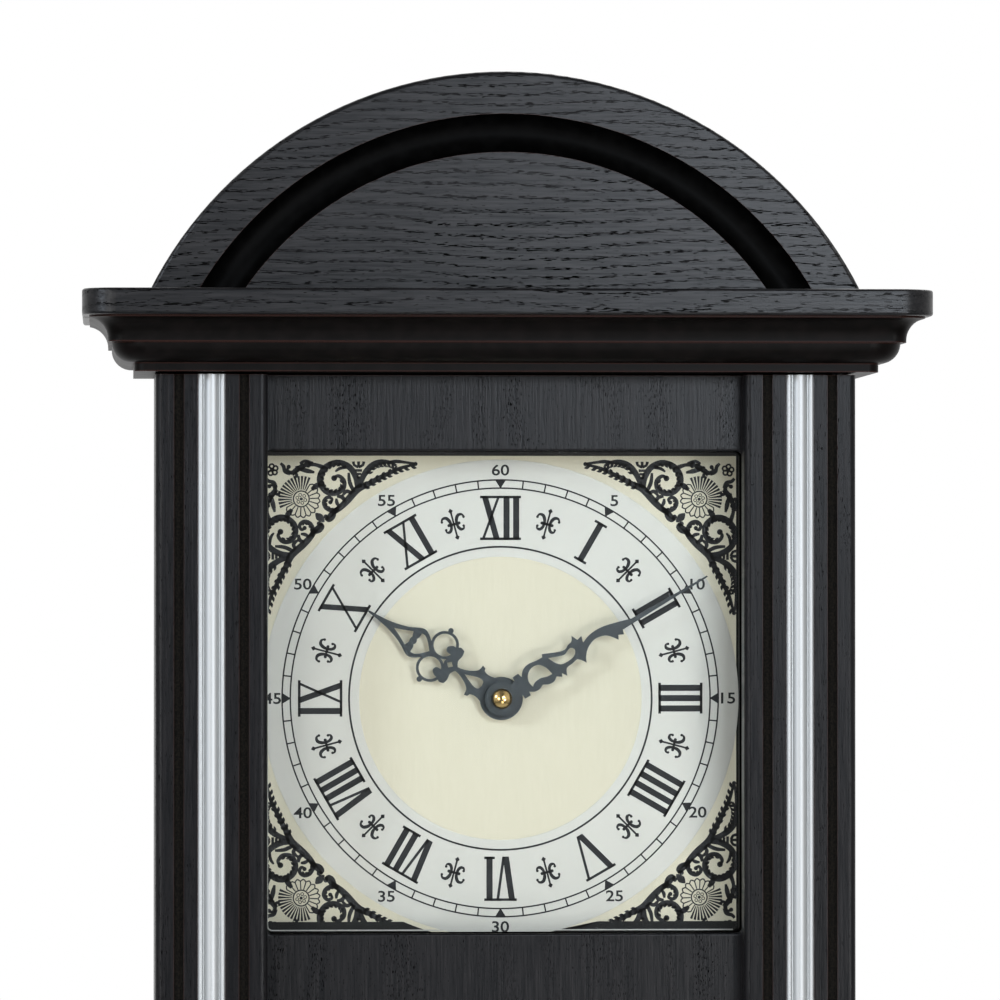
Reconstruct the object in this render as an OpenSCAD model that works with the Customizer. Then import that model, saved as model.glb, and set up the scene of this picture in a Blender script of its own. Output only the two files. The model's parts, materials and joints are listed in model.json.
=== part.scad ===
// Wall-hung pendulum clock: arched pediment, moulded cornice and base, and a
// full-height glazed door with fluted pilasters, over a quartz movement that
// turns two pierced hands and drives a pendulum.
// The wall is the plane y = 0, the front faces -Y, +X is to the right of
// someone who looks at the dial, and the origin is the hanger's keyhole.

/* [Case] */
// Width of the body and of the door
body_w = 250; // [236:1:280]
// Depth from the wall to the front of the pilasters
case_d = 90; // [88:1:110]
// Thickness of the side panels
side_t = 12; // [11:0.5:15]
// Thickness of the back panel
back_t = 5; // [4:0.5:7]
// Width of the hand hole in the back panel
service_w = 110; // [80:1:150]
// Height of the hand hole in the back panel
service_h = 120; // [80:1:130]
// Distance of the hand hole's middle under the hands' axis
service_drop = 8; // [0:1:12]
// Radius of the hand hole's corners
service_r = 6; // [3:0.5:12]

/* [Mouldings] */
// Thickness of the top board and of the base board
board_t = 9.3; // [8:0.1:14]
// Overhang of the boards past each side of the body
side_overhang = 26; // [21:0.5:32]
// Overhang of the boards past the pilasters
front_overhang = 26.5; // [21:0.5:32]
// Radius of the boards' front corners in plan
corner_r = 12; // [10:0.5:20]
// Round on the boards' edges
board_edge_r = 1; // [0.75:0.25:4]
// Height of the cove moulding
cove_h = 9.3; // [9:0.1:14]
// Height of the flat lip over the cove
cove_lip = 0.6; // [0.4:0.1:2.5]
// Height of the flat foot under the cove
cove_foot = 0.8; // [0.5:0.1:1.5]
// Depth of the cove's hollow
cove_depth = 6.7; // [3:0.1:7]
// Inset of the cove moulding from the edge of the board
cove_inset = 2.5; // [1:0.5:5]
// Height of the ovolo moulding, its fillet included
ovolo_h = 10.3; // [10:0.1:14]
// Radius of the ovolo's quarter round
ovolo_r = 7.2; // [5:0.1:8]
// Inset of the ovolo's fillet from its lip
ovolo_depth = 7.9; // [7.9:0.1:9]
// Inset of the ovolo moulding from the edge of the board
ovolo_inset = 10.5; // [8:0.5:12]

/* [Pediment] */
// Width of the pediment at its foot
pediment_w = 254; // [220:1:270]
// Height of the pediment over the top board
pediment_h = 78.5; // [70:0.1:90]
// Thickness of the pediment
pediment_t = 18; // [15:0.5:22]
// Distance from the arched edge to the middle of the groove
groove_in = 22; // [16:0.5:30]
// Radius of the round cutter that made the groove
groove_r = 7; // [4:0.25:9]
// Depth of the groove
groove_d = 5.5; // [2:0.25:6.5]
// Round on the arched front edge
arch_edge_r = 1.5; // [0.5:0.25:3]

/* [Door] */
// Thickness of the veneered door panel
panel_t = 16; // [14:0.5:20]
// Height of the rail over the dial window
top_rail_h = 28; // [24:1:50]
// Height of the dial window
dial_window_h = 172.3; // [160:0.1:176]
// Height of the rail between the two windows
middle_rail_h = 26.7; // [22:0.1:50]
// Height of the pendulum window
pendulum_window_h = 216; // [180:1:260]
// Height of the rail under the pendulum window
bottom_rail_h = 38; // [24:1:60]
// Radius of the windows' corners
window_r = 1.8; // [0.5:0.1:6]
// Round on the front edges over and under the windows
window_edge_r = 1; // [0.5:0.1:1.5]
// Gap over and under the door
door_gap = 0.8; // [0.4:0.1:2]
// Gap between the back of the door and the case
hinge_gap = 1.6; // [1.5:0.1:2.5]
// Width of the rabbet that the glass lies in
rabbet_w = 5; // [3:0.5:8]
// Depth of the rabbet that the glass lies in
rabbet_d = 6; // [4.5:0.5:8]
// Thickness of the glass
glass_t = 2; // [1.5:0.5:3]

/* [Pilasters] */
// Width of a pilaster
pilaster_w = 40; // [36:1:44]
// Thickness of a pilaster
pilaster_t = 11; // [8:0.5:15]
// Round on the pilaster's front edges
pilaster_edge_r = 2.4; // [1:0.1:4]
// Distance from the pilaster's middle to a flute
flute_x = 11.6; // [9:0.1:13]
// Width of a flute
flute_w = 3.4; // [2:0.1:5]
// Depth of a flute
flute_d = 2.5; // [2.5:0.1:4]
// Width of the metal strip
trim_w = 9.8; // [7:0.1:12]
// Depth of the channel that the strip is set in
trim_seat = 1.2; // [0.8:0.1:2]
// Width of the bead along the strip
bead_w = 5.2; // [3:0.1:6]
// Height of the bead over the pilaster's face
bead_rise = 1.6; // [0.8:0.1:2.5]
// Width of the small rounds beside the bead
reed_w = 2; // [1:0.1:2.2]
// Height of the small rounds over the pilaster's face
reed_rise = 0.8; // [0.4:0.1:0.9]

/* [Dial] */
// Distance from the front of the pilasters to the front of the dial
dial_recess = 41; // [40:0.5:45]
// Width of the dial plate
dial_w = 171; // [168:1:190]
// Height of the dial plate
dial_h = 178; // [174:1:188]
// Height of the dial plate's upper edge over the hands' axis
dial_rise = 87.7; // [86:0.1:90]
// Thickness of the dial plate
dial_t = 0.8; // [0.5:0.1:1.5]
// Height of the hands' axis over the foot of the dial window
hub_rise = 83.5; // [78:0.1:90]
// Thickness of the board behind the dial plate
dial_board_t = 5; // [4:0.5:6]
// Height of the board behind the dial plate
dial_board_h = 194; // [188:1:200]
// Side of the square battens that carry the dial board
batten_s = 12; // [10:0.5:16]

/* [Hands] */
// Length of the hour hand from its axis
hour_len = 58; // [48:0.5:62]
// Length of the minute hand from its axis
minute_len = 86.5; // [76:0.5:88]
// Thickness of the hands
hand_t = 0.8; // [0.5:0.1:1]
// Radius of the hour hand's boss
hour_boss_r = 7.8; // [6:0.1:8.2]
// Radius of the minute hand's boss
minute_boss_r = 6.1; // [4.5:0.1:6.5]
// Angle of the hour hand clockwise from twelve
hour_angle = 303.4; // [0:0.1:360]
// Angle of the minute hand clockwise from twelve
minute_angle = 59.3; // [0:0.1:360]
// Radius of the domed nut that holds the hands
cap_r = 3.6; // [3:0.1:4.5]

/* [Movement] */
// Side of the square movement
movement_w = 56; // [56:1:60]
// Depth of the movement
movement_d = 16; // [16:0.5:18]
// Thickness of the movement's walls
movement_wall = 1; // [0.8:0.1:1]
// Radius of the threaded bushing
bushing_r = 4; // [3.9:0.1:5]
// Radius of the hour pipe
pipe_r = 2.7; // [2.5:0.1:2.9]
// Radius of the minute arbor
arbor_r = 1.7; // [1.6:0.1:1.8]
// Module of the minute pinion and the motion wheel
tooth_module = 0.5; // [0.48:0.01:0.52]
// Radius of the battery
battery_r = 7.1; // [6:0.1:7.1]
// Length of the battery
battery_len = 50.3; // [48:0.1:50.3]
// Radius of the setting knob
knob_r = 6; // [4:0.5:8]

/* [Pendulum] */
// Length from the pivot to the middle of the bob
pendulum_len = 216; // [190:1:225]
// Radius of the bob
bob_r = 35; // [25:1:45]
// Thickness of the bob at its middle
bob_t = 9; // [6:0.5:12]
// Width of the pendulum rod
rod_w = 5; // [4:0.5:7]
// Thickness of the pendulum rod
rod_t = 1.2; // [1:0.1:1.5]
// Height of the pendulum drive under the movement
drive_h = 46; // [44:1:52]

/* [Hanger] */
// Distance from the underside of the cornice down to the keyhole
hang_drop = 31; // [24:0.5:36]
// Radius of the keyhole's round entry
keyhole_r = 5; // [4:0.25:6]
// Radius of the keyhole's slot
keyslot_r = 2.2; // [1.5:0.1:2.5]
// Length of the keyhole's slot
keyslot_h = 10; // [8:0.5:12]
// Width of the hanger plate
hanger_w = 60; // [50:1:80]
// Height of the hanger plate
hanger_h = 30; // [28:1:34]
// Thickness of the hanger plate
hanger_t = 1.2; // [1:0.1:2]

/* [Fittings] */
// Length of a hinge leaf
hinge_leaf_len = 36; // [30:1:40]
// Distance from the side of the door to its hinge pins
hinge_in = 6; // [4:0.25:6]
// Distance from the back of the door to its hinge pins
hinge_back = 13; // [12.5:0.1:13.3]
// Radius of a hinge pin
hinge_pin_r = 1.5; // [1:0.1:1.6]
// Radius of a dowel in the case
dowel_r = 3; // [2:0.5:4]
// Radius of a dowel in the pediment
pediment_dowel_r = 4; // [3:0.5:5]
// Radius of a screw's shank
screw_r = 1.4; // [1:0.1:1.8]
// Radius of a screw's head
screw_head_r = 2.7; // [2.2:0.1:3.2]
// Width of the magnetic catch
catch_w = 14; // [12:1:18]
// Height of the magnetic catch
catch_h = 40; // [34:1:60]
// Height of the catch over the foot of the door
catch_z = 230; // [120:1:300]

/* [Hidden] */
$fn = 64;
eps = 1;
seat_gap = 0.05;
free_gap = 0.3;

base_h = board_t + cove_h + ovolo_h;
body_h = bottom_rail_h + pendulum_window_h + middle_rail_h + dial_window_h + top_rail_h;
cornice_z = base_h + body_h;
hang_z = cornice_z - hang_drop;
board_w = body_w + 2 * side_overhang;
board_d = case_d + front_overhang;
top_z = cornice_z + base_h;
cove_r = cove_h - cove_lip - cove_foot;
inner_x = body_w / 2 - side_t;

pediment_rad = (pediment_w * pediment_w / 4 + pediment_h * pediment_h) / (2 * pediment_h);
groove_mid = pediment_rad - groove_in;
pediment_dowel_x = 70;
pediment_dowel_h = 20;
pediment_dowel_in = board_t - 2;
dowel_h = 16;
dowel_in = 15;

panel_y = -(case_d - pilaster_t);
door_back_y = panel_y + panel_t;
case_front_y = door_back_y + hinge_gap;
glass_y = door_back_y - rabbet_d;
window_w = body_w - 2 * pilaster_w;
pendulum_window_z = base_h + bottom_rail_h;
dial_window_z = pendulum_window_z + pendulum_window_h + middle_rail_h;
door_foot_z = base_h + door_gap;
door_leaf_h = body_h - 2 * door_gap;
bead_rad = (bead_w * bead_w / 4 + bead_rise * bead_rise) / (2 * bead_rise);

hub_z = dial_window_z + hub_rise;
dial_y = -(case_d - dial_recess);
dial_board_y = dial_y + dial_t;
movement_y = dial_board_y + dial_board_t;
movement_back_y = movement_y + movement_d;
dial_board_z = dial_window_z + (dial_window_h - dial_board_h) / 2;

washer_t = 0.5;
nut_t = 2.5;
nut_flat = 12;
washer_r = 7;
thread_end = 0.5;
bushing_end_y = dial_y - washer_t - nut_t - thread_end;
hour_lift = 0.9;
hand_lift = 3.4;
hour_hand_y = bushing_end_y - hand_t - hour_lift;
minute_hand_y = hour_hand_y - hand_lift;
cap_h = 3.8;
cap_rim = 1;
dome_r = 1.4 * cap_r;
pipe_bore_r = arbor_r + seat_gap;
pipe_seat_r = pipe_r - 0.2;
arbor_seat_r = arbor_r - 0.2;
arbor_tip_r = arbor_r - 0.5;
pivot_r = 1;

minute_teeth = 12;
motion_teeth = 36;
motion_pinion_teeth = 10;
hour_teeth = 40;
wheel_gap = tooth_module * (minute_teeth + motion_teeth) / 2;
hour_module = 2 * wheel_gap / (motion_pinion_teeth + hour_teeth);
stud_r = 0.8;
knob_turn = 60;
knob_x = wheel_gap * sin(knob_turn);
knob_z = wheel_gap * (1 + cos(knob_turn));
wheel_t = 1.2;
wheel_lift = 0.8;
hour_wheel_y = movement_y + movement_wall + wheel_lift;
pinion_t = 1.4;
pinion_y = hour_wheel_y + wheel_t + free_gap;
cover_t = 1.5;
cover_y = movement_back_y - cover_t;
room_foot = -11.2;
bay_top = room_foot - 1;
battery_gap = 0.2;
battery_z = bay_top - battery_gap - battery_r;
contact_t = 0.5;
contact_w = 10;
contact_foot_w = 4;
contact_h = 12;
battery_tip = [1, 2.7];
board_left = -(movement_w / 2 - movement_wall - 0.5);
pcb_w = 14;
pcb_h = 26;
pcb_t = 1.2;
coil_flange = 8;
coil_h = 16;
coil_z = 5;
coil_wall = 1;

drive_wall = 2;
pivot_drop = movement_w / 2 + 10;
pivot_z = hub_z - pivot_drop;
arm_t = 2;
arm_w = 6;
arm_y = movement_y + (movement_d - arm_t) / 2;
slot_half = 9;
magnet_r = 3;
magnet_t = 3;
magnet_drop = 24;
peg_r = 1.2;
peg_out = 1;
arm_eye_r = 4;
magnet_rim = 1.5;
rod_eye_rim = 2.2;
drive_coil_r = 8;
drive_coil_t = 3;
drive_coil_bore = 2.5;
pivot_seat = 0.5;
peg_drop = drive_h - 2;
rod_y = arm_y - 0.2 - rod_t;
bob_z = pivot_z - pendulum_len;
bob_rim = 2;
bob_rad = (bob_r * bob_r + pow((bob_t - bob_rim) / 2, 2)) / (bob_t - bob_rim);
rating_r = 5;
rating_h = 4;
rating_stud_r = 1.5;
rating_stud_h = 24;
rod_end_in = 8;
rod_play = 0.1;
rating_grips = 12;
rating_grip_r = 0.5;

hinge_x = body_w / 2 - hinge_in;
hinge_y = door_back_y - hinge_back;
leaf_t = 1.2;
leaf_w = 12;
leaf_side = 3.5;
leaf_front = 2.2;
leaf_screw_xs = [-12, -25];
leaf_screw_y = 4;
pin_in = 10;
pin_rise = 7;
hinge_screw_len = 8;
head_t = screw_head_r - screw_r;
screw_len = 12;
glass_play = 0.5;
bead_gap = 0.2;
strike_t = 1;
strike_h = 40;
catch_d = 12;
strike_w = 12;
strike_screw_zs = [-15, 15];
magnet_block = [10, 6, 22];
hanger_block = [90, 14, 44];
hanger_screw_in = 7;
hanger_screw_x = hanger_w / 2 - hanger_screw_in;
hanger_rise = 3;
hanger_foot = hanger_rise - hanger_h / 2;
hanger_top = hanger_rise + hanger_h / 2;
pocket_r = keyhole_r + 2;
pocket_d = 8;
dial_screw_x = inner_x - batten_s / 2;
dial_screw_in = 10;
dial_screw_zs = [dial_board_z + dial_screw_in, dial_board_z + dial_board_h - dial_screw_in];

// Colours
black_oak = "#231f1e";
black_board = "#171616";
silver = "#d5dadb";
cream = "#e6e4d2";
hand_black = "#3d4449";
brass_gold = "#c9a54a";
steel_grey = "#9a9ea2";
steel_black = "#26282b";
plastic_black = "#1d1e20";
plastic_white = "#e4e4e0";
glass_tint = [0.80, 0.88, 0.90, 0.25];
pale_wood = "#c8a878";
copper_red = "#b0602c";
board_green = "#1f5a35";

// Helpers
// Moves heights over the base's underside into the part's own frame
module in_case() {
  translate([0, 0, -hang_z]) children();
}

// Moves a piece that is drawn about the hands' axis
module at_hub() {
  in_case() translate([0, 0, hub_z]) children();
}

// A plate with its front face at y_front, drawn as it is seen from the front
module plate(y_front, t) {
  translate([0, y_front + t, 0]) rotate([90, 0, 0]) linear_extrude(t) children();
}

// A round bar along Y from y0 to y1
module bar_y(r, y0, y1) {
  translate([0, y0, 0]) rotate([-90, 0, 0]) cylinder(h = y1 - y0, r = r);
}

// A block from its least corner to its greatest
module block(low, high) {
  translate(low) cube(high - low);
}

module both_sides() {
  children();
  mirror([1, 0, 0]) children();
}

module round_rect(w, h, r) {
  translate([-w / 2 + r, -h / 2]) square([w - 2 * r, h]);
  translate([-w / 2, -h / 2 + r]) square([w, h - 2 * r]);
  for (x = [-1, 1], y = [-1, 1]) {
    translate([x * (w / 2 - r), y * (h / 2 - r)]) circle(r);
  }
}

// A countersunk wood screw along +Y, its head's face at y = 0
module screw(len, extra = 0) {
  rotate([-90, 0, 0]) {
    cylinder(h = head_t, r1 = screw_head_r + extra, r2 = screw_r + extra);
    cylinder(h = len + extra, r = screw_r + extra);
  }
}

// Gear teeth with involute flanks, one tooth pointing along +y
pressure = 20;
backlash = 0.16;
addendum = 0.8;
dedendum = 1.1;
function inv_deg(a) = tan(a) * 180 / PI - a;
function flank_turn(r, base_r) = inv_deg(acos(min(1, base_r / r)));
function half_tooth(r, pitch_r, teeth) =
  90 / teeth * (1 - backlash) + inv_deg(pressure) - flank_turn(r, pitch_r * cos(pressure));
function gear_radii(pitch_r, m) =
  let (root = pitch_r - dedendum * m, tip = pitch_r + addendum * m,
       start = max(root, pitch_r * cos(pressure)))
  [root, start, (start + pitch_r) / 2, pitch_r, (pitch_r + tip) / 2, tip];

module gear(teeth, m, turn = 0) {
  pitch_r = teeth * m / 2;
  radii = gear_radii(pitch_r, m);
  last = len(radii) - 1;
  polygon([for (k = [0 : teeth - 1], s = [-1, 1], i = [0 : last])
    let (r = s < 0 ? radii[i] : radii[last - i],
         a = turn + 360 * k / teeth + s * half_tooth(r, pitch_r, teeth))
    r * [sin(a), cos(a)]]);
}

// Case
module dowel_places() {
  for (y = [-dowel_in, case_front_y + dowel_in], z = [base_h, cornice_z]) {
    translate([body_w / 2 - side_t / 2, y, z]) children();
  }
}

module dowel(r, h) {
  translate([0, 0, -h / 2]) cylinder(h = h, r = r);
}

module case_dowels() {
  color(pale_wood) in_case() both_sides() dowel_places() dowel(dowel_r, dowel_h);
}

module side_panel() {
  color(black_oak) in_case() difference() {
    block([inner_x, case_front_y, base_h], [body_w / 2, 0, cornice_z]);
    dowel_places() dowel(dowel_r + seat_gap, dowel_h + 2 * free_gap);
  }
}

module side_panel_left() {
  mirror([1, 0, 0]) side_panel();
}

module side_panel_right() {
  side_panel();
}

// The keyhole's outline, grown by extra
module keyhole(extra) {
  circle(keyhole_r + extra);
  translate([-keyslot_r - extra, 0]) square([2 * (keyslot_r + extra), keyslot_h]);
  translate([0, keyslot_h]) circle(keyslot_r + extra);
}

// Clearance for the wall screw's head behind the keyhole
module head_pocket() {
  translate([-pocket_r, 0]) square([2 * pocket_r, keyslot_h]);
  for (z = [0, keyslot_h]) {
    translate([0, z]) circle(pocket_r);
  }
}

module hanger_screw_places() {
  for (x = [-hanger_screw_x, hanger_screw_x]) {
    translate([x, 0, 0]) mirror([0, 1, 0]) children();
  }
}

module back_panel() {
  color(black_board) in_case() difference() {
    block([-inner_x, -back_t, base_h], [inner_x, 0, cornice_z]);
    translate([0, 0, hub_z - service_drop]) {
      plate(-back_t - eps, back_t + 2 * eps) round_rect(service_w, service_h, service_r);
    }
    translate([0, 0, hang_z]) {
      plate(-back_t - eps, back_t + 2 * eps) head_pocket();
      block([-hanger_w / 2 - seat_gap, -hanger_t, hanger_foot - seat_gap],
            [hanger_w / 2 + seat_gap, eps, hanger_top + seat_gap]);
      hanger_screw_places() screw(screw_len, seat_gap);
    }
  }
}

module hanger_block() {
  color(pale_wood) difference() {
    block([-hanger_block[0] / 2, -back_t - hanger_block[1], -hanger_block[2] / 2],
          [hanger_block[0] / 2, -back_t, hanger_block[2] / 2]);
    plate(-back_t - pocket_d, pocket_d + eps) head_pocket();
    hanger_screw_places() screw(screw_len, seat_gap);
  }
}

module hanger_plate() {
  color(steel_grey) difference() {
    block([-hanger_w / 2, -hanger_t, hanger_foot], [hanger_w / 2, 0, hanger_top]);
    plate(-hanger_t - eps, hanger_t + 2 * eps) keyhole(0);
    hanger_screw_places() screw(screw_len, seat_gap);
  }
}

module hanger_screws() {
  color(steel_grey) hanger_screw_places() screw(screw_len);
}

// Mouldings: each is a slab with its edge shaped on the front and both sides.
// The profile spans corner_r across and the slab's height up.
module routed_slab(inset, t) {
  w = board_w - 2 * inset;
  d = board_d - inset;
  block([-w / 2 + corner_r, -d + corner_r, 0], [w / 2 - corner_r, 0, t]);
  translate([w / 2 - corner_r, -d + corner_r, 0]) rotate([0, 0, -90]) {
    rotate([90, 0, 0]) linear_extrude(w - 2 * corner_r) children();
  }
  both_sides() translate([w / 2 - corner_r, 0, 0]) {
    rotate([90, 0, 0]) linear_extrude(d - corner_r) children();
    translate([0, -d + corner_r, 0]) rotate([0, 0, -90]) rotate_extrude(angle = 90) children();
  }
}

module board_profile() {
  square([corner_r - board_edge_r, board_t]);
  translate([0, board_edge_r]) square([corner_r, board_t - 2 * board_edge_r]);
  for (z = [board_edge_r, board_t - board_edge_r]) {
    translate([corner_r - board_edge_r, z]) circle(board_edge_r);
  }
}

module cove_profile() {
  difference() {
    square([corner_r, cove_h]);
    translate([corner_r + cove_r - cove_depth, cove_foot]) circle(cove_r);
    translate([corner_r - cove_depth, -eps]) square([cove_depth + eps, cove_foot + eps]);
  }
}

module ovolo_profile() {
  square([corner_r - ovolo_depth, ovolo_h]);
  translate([0, ovolo_h - ovolo_r]) square([corner_r - ovolo_r, ovolo_r]);
  intersection() {
    translate([corner_r - ovolo_r, ovolo_h]) circle(ovolo_r);
    translate([corner_r - ovolo_r, ovolo_h - ovolo_r]) square(ovolo_r);
  }
}

module board_slab() {
  routed_slab(0, board_t) board_profile();
}

module cove_slab() {
  routed_slab(cove_inset, cove_h) cove_profile();
}

module ovolo_slab() {
  routed_slab(ovolo_inset, ovolo_h) ovolo_profile();
}

module base_board() {
  color(black_oak) in_case() board_slab();
}

module base_cove() {
  color(black_oak) in_case() translate([0, 0, board_t + cove_h]) mirror([0, 0, 1]) cove_slab();
}

module base_ovolo() {
  color(black_oak) in_case() difference() {
    translate([0, 0, base_h]) mirror([0, 0, 1]) ovolo_slab();
    both_sides() dowel_places() dowel(dowel_r + seat_gap, dowel_h + 2 * free_gap);
    hinge_ends() hinge_bed_case();
  }
}

module cornice_ovolo() {
  color(black_oak) in_case() difference() {
    translate([0, 0, cornice_z]) ovolo_slab();
    both_sides() dowel_places() dowel(dowel_r + seat_gap, dowel_h + 2 * free_gap);
    hinge_ends() hinge_bed_case();
  }
}

module cornice_cove() {
  color(black_oak) in_case() translate([0, 0, cornice_z + ovolo_h]) cove_slab();
}

module pediment_dowel_places(extra) {
  h = pediment_dowel_h + 2 * extra;
  for (x = [-1, 0, 1]) {
    translate([x * pediment_dowel_x, -case_d + pediment_t / 2, top_z - pediment_dowel_in - extra]) {
      cylinder(h = h, r = pediment_dowel_r + min(extra, seat_gap));
    }
  }
}

module top_board() {
  color(black_oak) in_case() difference() {
    translate([0, 0, top_z - board_t]) board_slab();
    pediment_dowel_places(free_gap);
  }
}

// The pediment turned about its own centre: radius across, thickness up
module pediment_section() {
  difference() {
    union() {
      square([pediment_rad, pediment_t - arch_edge_r]);
      square([pediment_rad - arch_edge_r, pediment_t]);
      translate([pediment_rad - arch_edge_r, pediment_t - arch_edge_r]) circle(arch_edge_r);
    }
    translate([groove_mid, pediment_t + groove_r - groove_d]) circle(groove_r);
  }
}

module pediment() {
  color(black_oak) in_case() difference() {
    translate([0, -case_d + pediment_t, top_z + pediment_h - pediment_rad]) {
      rotate([90, 0, 0]) rotate_extrude($fn = 180) pediment_section();
    }
    block([-pediment_rad - eps, -case_d - eps, top_z - 2 * pediment_rad],
          [pediment_rad + eps, -case_d + pediment_t + eps, top_z]);
    pediment_dowel_places(free_gap);
  }
}

module pediment_dowels() {
  color(pale_wood) in_case() pediment_dowel_places(0);
}

// Dial
module dial_screw_places() {
  for (x = [-dial_screw_x, dial_screw_x], z = dial_screw_zs) {
    translate([x, dial_board_y, z]) children();
  }
}

module dial_battens() {
  color(pale_wood) in_case() difference() {
    both_sides() block([inner_x - batten_s, movement_y, dial_board_z],
                       [inner_x, movement_y + batten_s, dial_board_z + dial_board_h]);
    dial_screw_places() screw(screw_len, seat_gap);
  }
}

module dial_board() {
  color(black_board) in_case() difference() {
    block([-inner_x + free_gap, dial_board_y, dial_board_z],
          [inner_x - free_gap, movement_y, dial_board_z + dial_board_h]);
    translate([0, 0, hub_z]) bar_y(bushing_r + seat_gap, dial_board_y - eps, movement_y + eps);
    dial_screw_places() screw(screw_len, seat_gap);
  }
}

module dial_board_screws() {
  color(steel_grey) in_case() dial_screw_places() screw(screw_len);
}

module dial_plate() {
  color(cream) at_hub() difference() {
    block([-dial_w / 2, dial_y, dial_rise - dial_h], [dial_w / 2, dial_board_y, dial_rise]);
    bar_y(bushing_r + seat_gap, dial_y - eps, movement_y);
  }
}

// Hands, drawn pointing up with their axis at the origin. An outline is a list of
// runs: each run is a smooth curve through its points, and runs meet at sharp corners.
function blend(a, b, c, d, t) =
  b + (c - a) * t / 2 + (2 * a - 5 * b + 4 * c - d) * t * t / 2
  + (3 * b - a - 3 * c + d) * t * t * t / 2;
function run_points(run, steps = 4) =
  let (last = len(run) - 1)
  [for (i = [0 : last - 1], k = [0 : (last > 1 ? steps - 1 : 0)])
    blend(run[max(i - 1, 0)], run[i], run[i + 1], run[min(i + 2, last)], k / steps)];
function outline(runs) =
  let (end = runs[len(runs) - 1], point = end[len(end) - 1])
  concat([for (run = runs) each run_points(run)], point == runs[0][0] ? [] : [point]);

// A point of the minute hand: distance along it and distance to its left
function along(points) = [for (p = points) [-p[1], p[0]] * minute_len / 88];

minute_runs = [
  along([[88, 0.3], [56, 0.9]]),
  along([[56, 0.9], [51, 2.4], [45, 3.8], [40, 3.7], [36.2, 2.4]]),
  along([[36.2, 2.4], [36.9, 4.8]]), along([[36.9, 4.8], [34.9, 4.3]]),
  along([[34.9, 4.3], [33.8, 6.7]]),
  along([[33.8, 6.7], [32.7, 4.9], [31, 4.5], [29.2, 3.6], [26.4, 4.2], [21, 6.5]]),
  along([[21, 6.5], [20.5, 5.4]]),
  along([[20.5, 5.4], [18, 5.5], [14.6, 5.9], [12, 5], [10.3, 3]]),
  along([[10.3, 3], [9.8, 4.8]]), along([[9.8, 4.8], [7.4, 4.6]]),
  along([[7.4, 4.6], [7.3, 2.8]]), along([[7.3, 2.8], [4, 2.8]]),
  along([[4, 2.8], [4, -2.8]]), along([[4, -2.8], [7.3, -2.8]]),
  along([[7.3, -2.8], [7.4, -4.4]]), along([[7.4, -4.4], [9.8, -4.4]]),
  along([[9.8, -4.4], [10, -3]]),
  along([[10, -3], [11.8, -4], [13.8, -4.1], [15.6, -3.3]]),
  along([[15.6, -3.3], [17.6, -4.3], [19.8, -4.4], [21.5, -3.3]]),
  along([[21.5, -3.3], [23.2, -4.5]]), along([[23.2, -4.5], [23.8, -3.3]]),
  along([[23.8, -3.3], [25, -5.1]]),
  along([[25, -5.1], [26.3, -2.6], [28.8, -2.2], [31.2, -1.7]]),
  along([[31.2, -1.7], [32.4, -2.8], [33.6, -4.6]]),
  along([[33.6, -4.6], [34.6, -2.5], [37, -0.1], [40.8, 1.3], [45, 0.2], [48, -3.4]]),
  along([[48, -3.4], [48.8, -1.8]]), along([[48.8, -1.8], [50.7, -2.7]]),
  along([[50.7, -2.7], [51.2, -1]]), along([[51.2, -1], [88, -0.3]])
];
minute_windows = [
  [along([[12.1, -2.2], [11.7, 0.2], [12.8, 2.7], [15.2, 4.1], [18, 3.7], [19.9, 1.2], [20.6, -1.7]]),
   along([[20.6, -1.7], [18.6, -1.6], [16.4, -0.9]]),
   along([[16.4, -0.9], [14.6, -0.9], [13.2, -1.3], [12.1, -2.2]])],
  [along([[22.2, 4.1], [25, 3], [27.9, 2.1], [29.6, 2.7], [31.2, 3.1], [32.3, 1.9], [31.4, 0.2],
    [29.2, -0.6], [25.6, -0.5], [23.6, 1.3], [22.2, 4.1]])]
];

module minute_hand() {
  color(hand_black) at_hub() rotate([0, minute_angle, 0]) plate(minute_hand_y, hand_t) {
    difference() {
      union() {
        polygon(outline(minute_runs));
        circle(minute_boss_r);
      }
      for (window = minute_windows) {
        polygon(outline(window));
      }
      circle(arbor_seat_r + seat_gap);
    }
  }
}

// The hour hand is symmetrical: each outline is its right half and the mirror image
// of that half, and ends on the hand's middle line
function up(points) = points * hour_len / 58;
function whole(half) =
  let (last = len(half) - 1, skip = half[last][0] == 0 ? 1 : 0, first = half[0][0] == 0 ? 1 : 0)
  concat(half, [for (i = [last - skip : -1 : first]) [-half[i][0], half[i][1]]]);
function arc(centre, r, from, to, steps) =
  [for (i = [0 : steps]) let (a = from + (to - from) * i / steps) centre + r * [cos(a), sin(a)]];

ring_at = [4.9, 27.6];
ring_r = 5.1;
ring_hole_r = 4.1;
knob_at = [10.4, 28.6];
knob_bead_r = 1;
hour_half = [
  up([[0, 58], [0.4, 57]]),
  up([[0.4, 57], [0.9, 51.5], [1.7, 47], [3.3, 42], [5.6, 37.6], [5.4, 35.2], [3.5, 32.5]]),
  up(arc(ring_at, ring_r, 106, 20, 5)),
  up(arc(knob_at, knob_bead_r, 134, -113, 6)),
  up(arc(ring_at, ring_r, 1, -67, 5)),
  up([[6.9, 22.9], [7.3, 22], [6.9, 20.5]]),
  up([[6.9, 20.5], [5, 20.1], [2.6, 20.4], [0.8, 19.4]]),
  up([[0.8, 19.4], [1.1, 17.6], [2.2, 14.8], [4, 12.5], [6.3, 12]]),
  up([[6.3, 12], [5.9, 10.7]]), up([[5.9, 10.7], [5, 10.5]]),
  up([[5, 10.5], [4.5, 8.8], [4.7, 6.8]]),
  arc([0, 0], hour_boss_r, 50, -90, 12)
];
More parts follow.
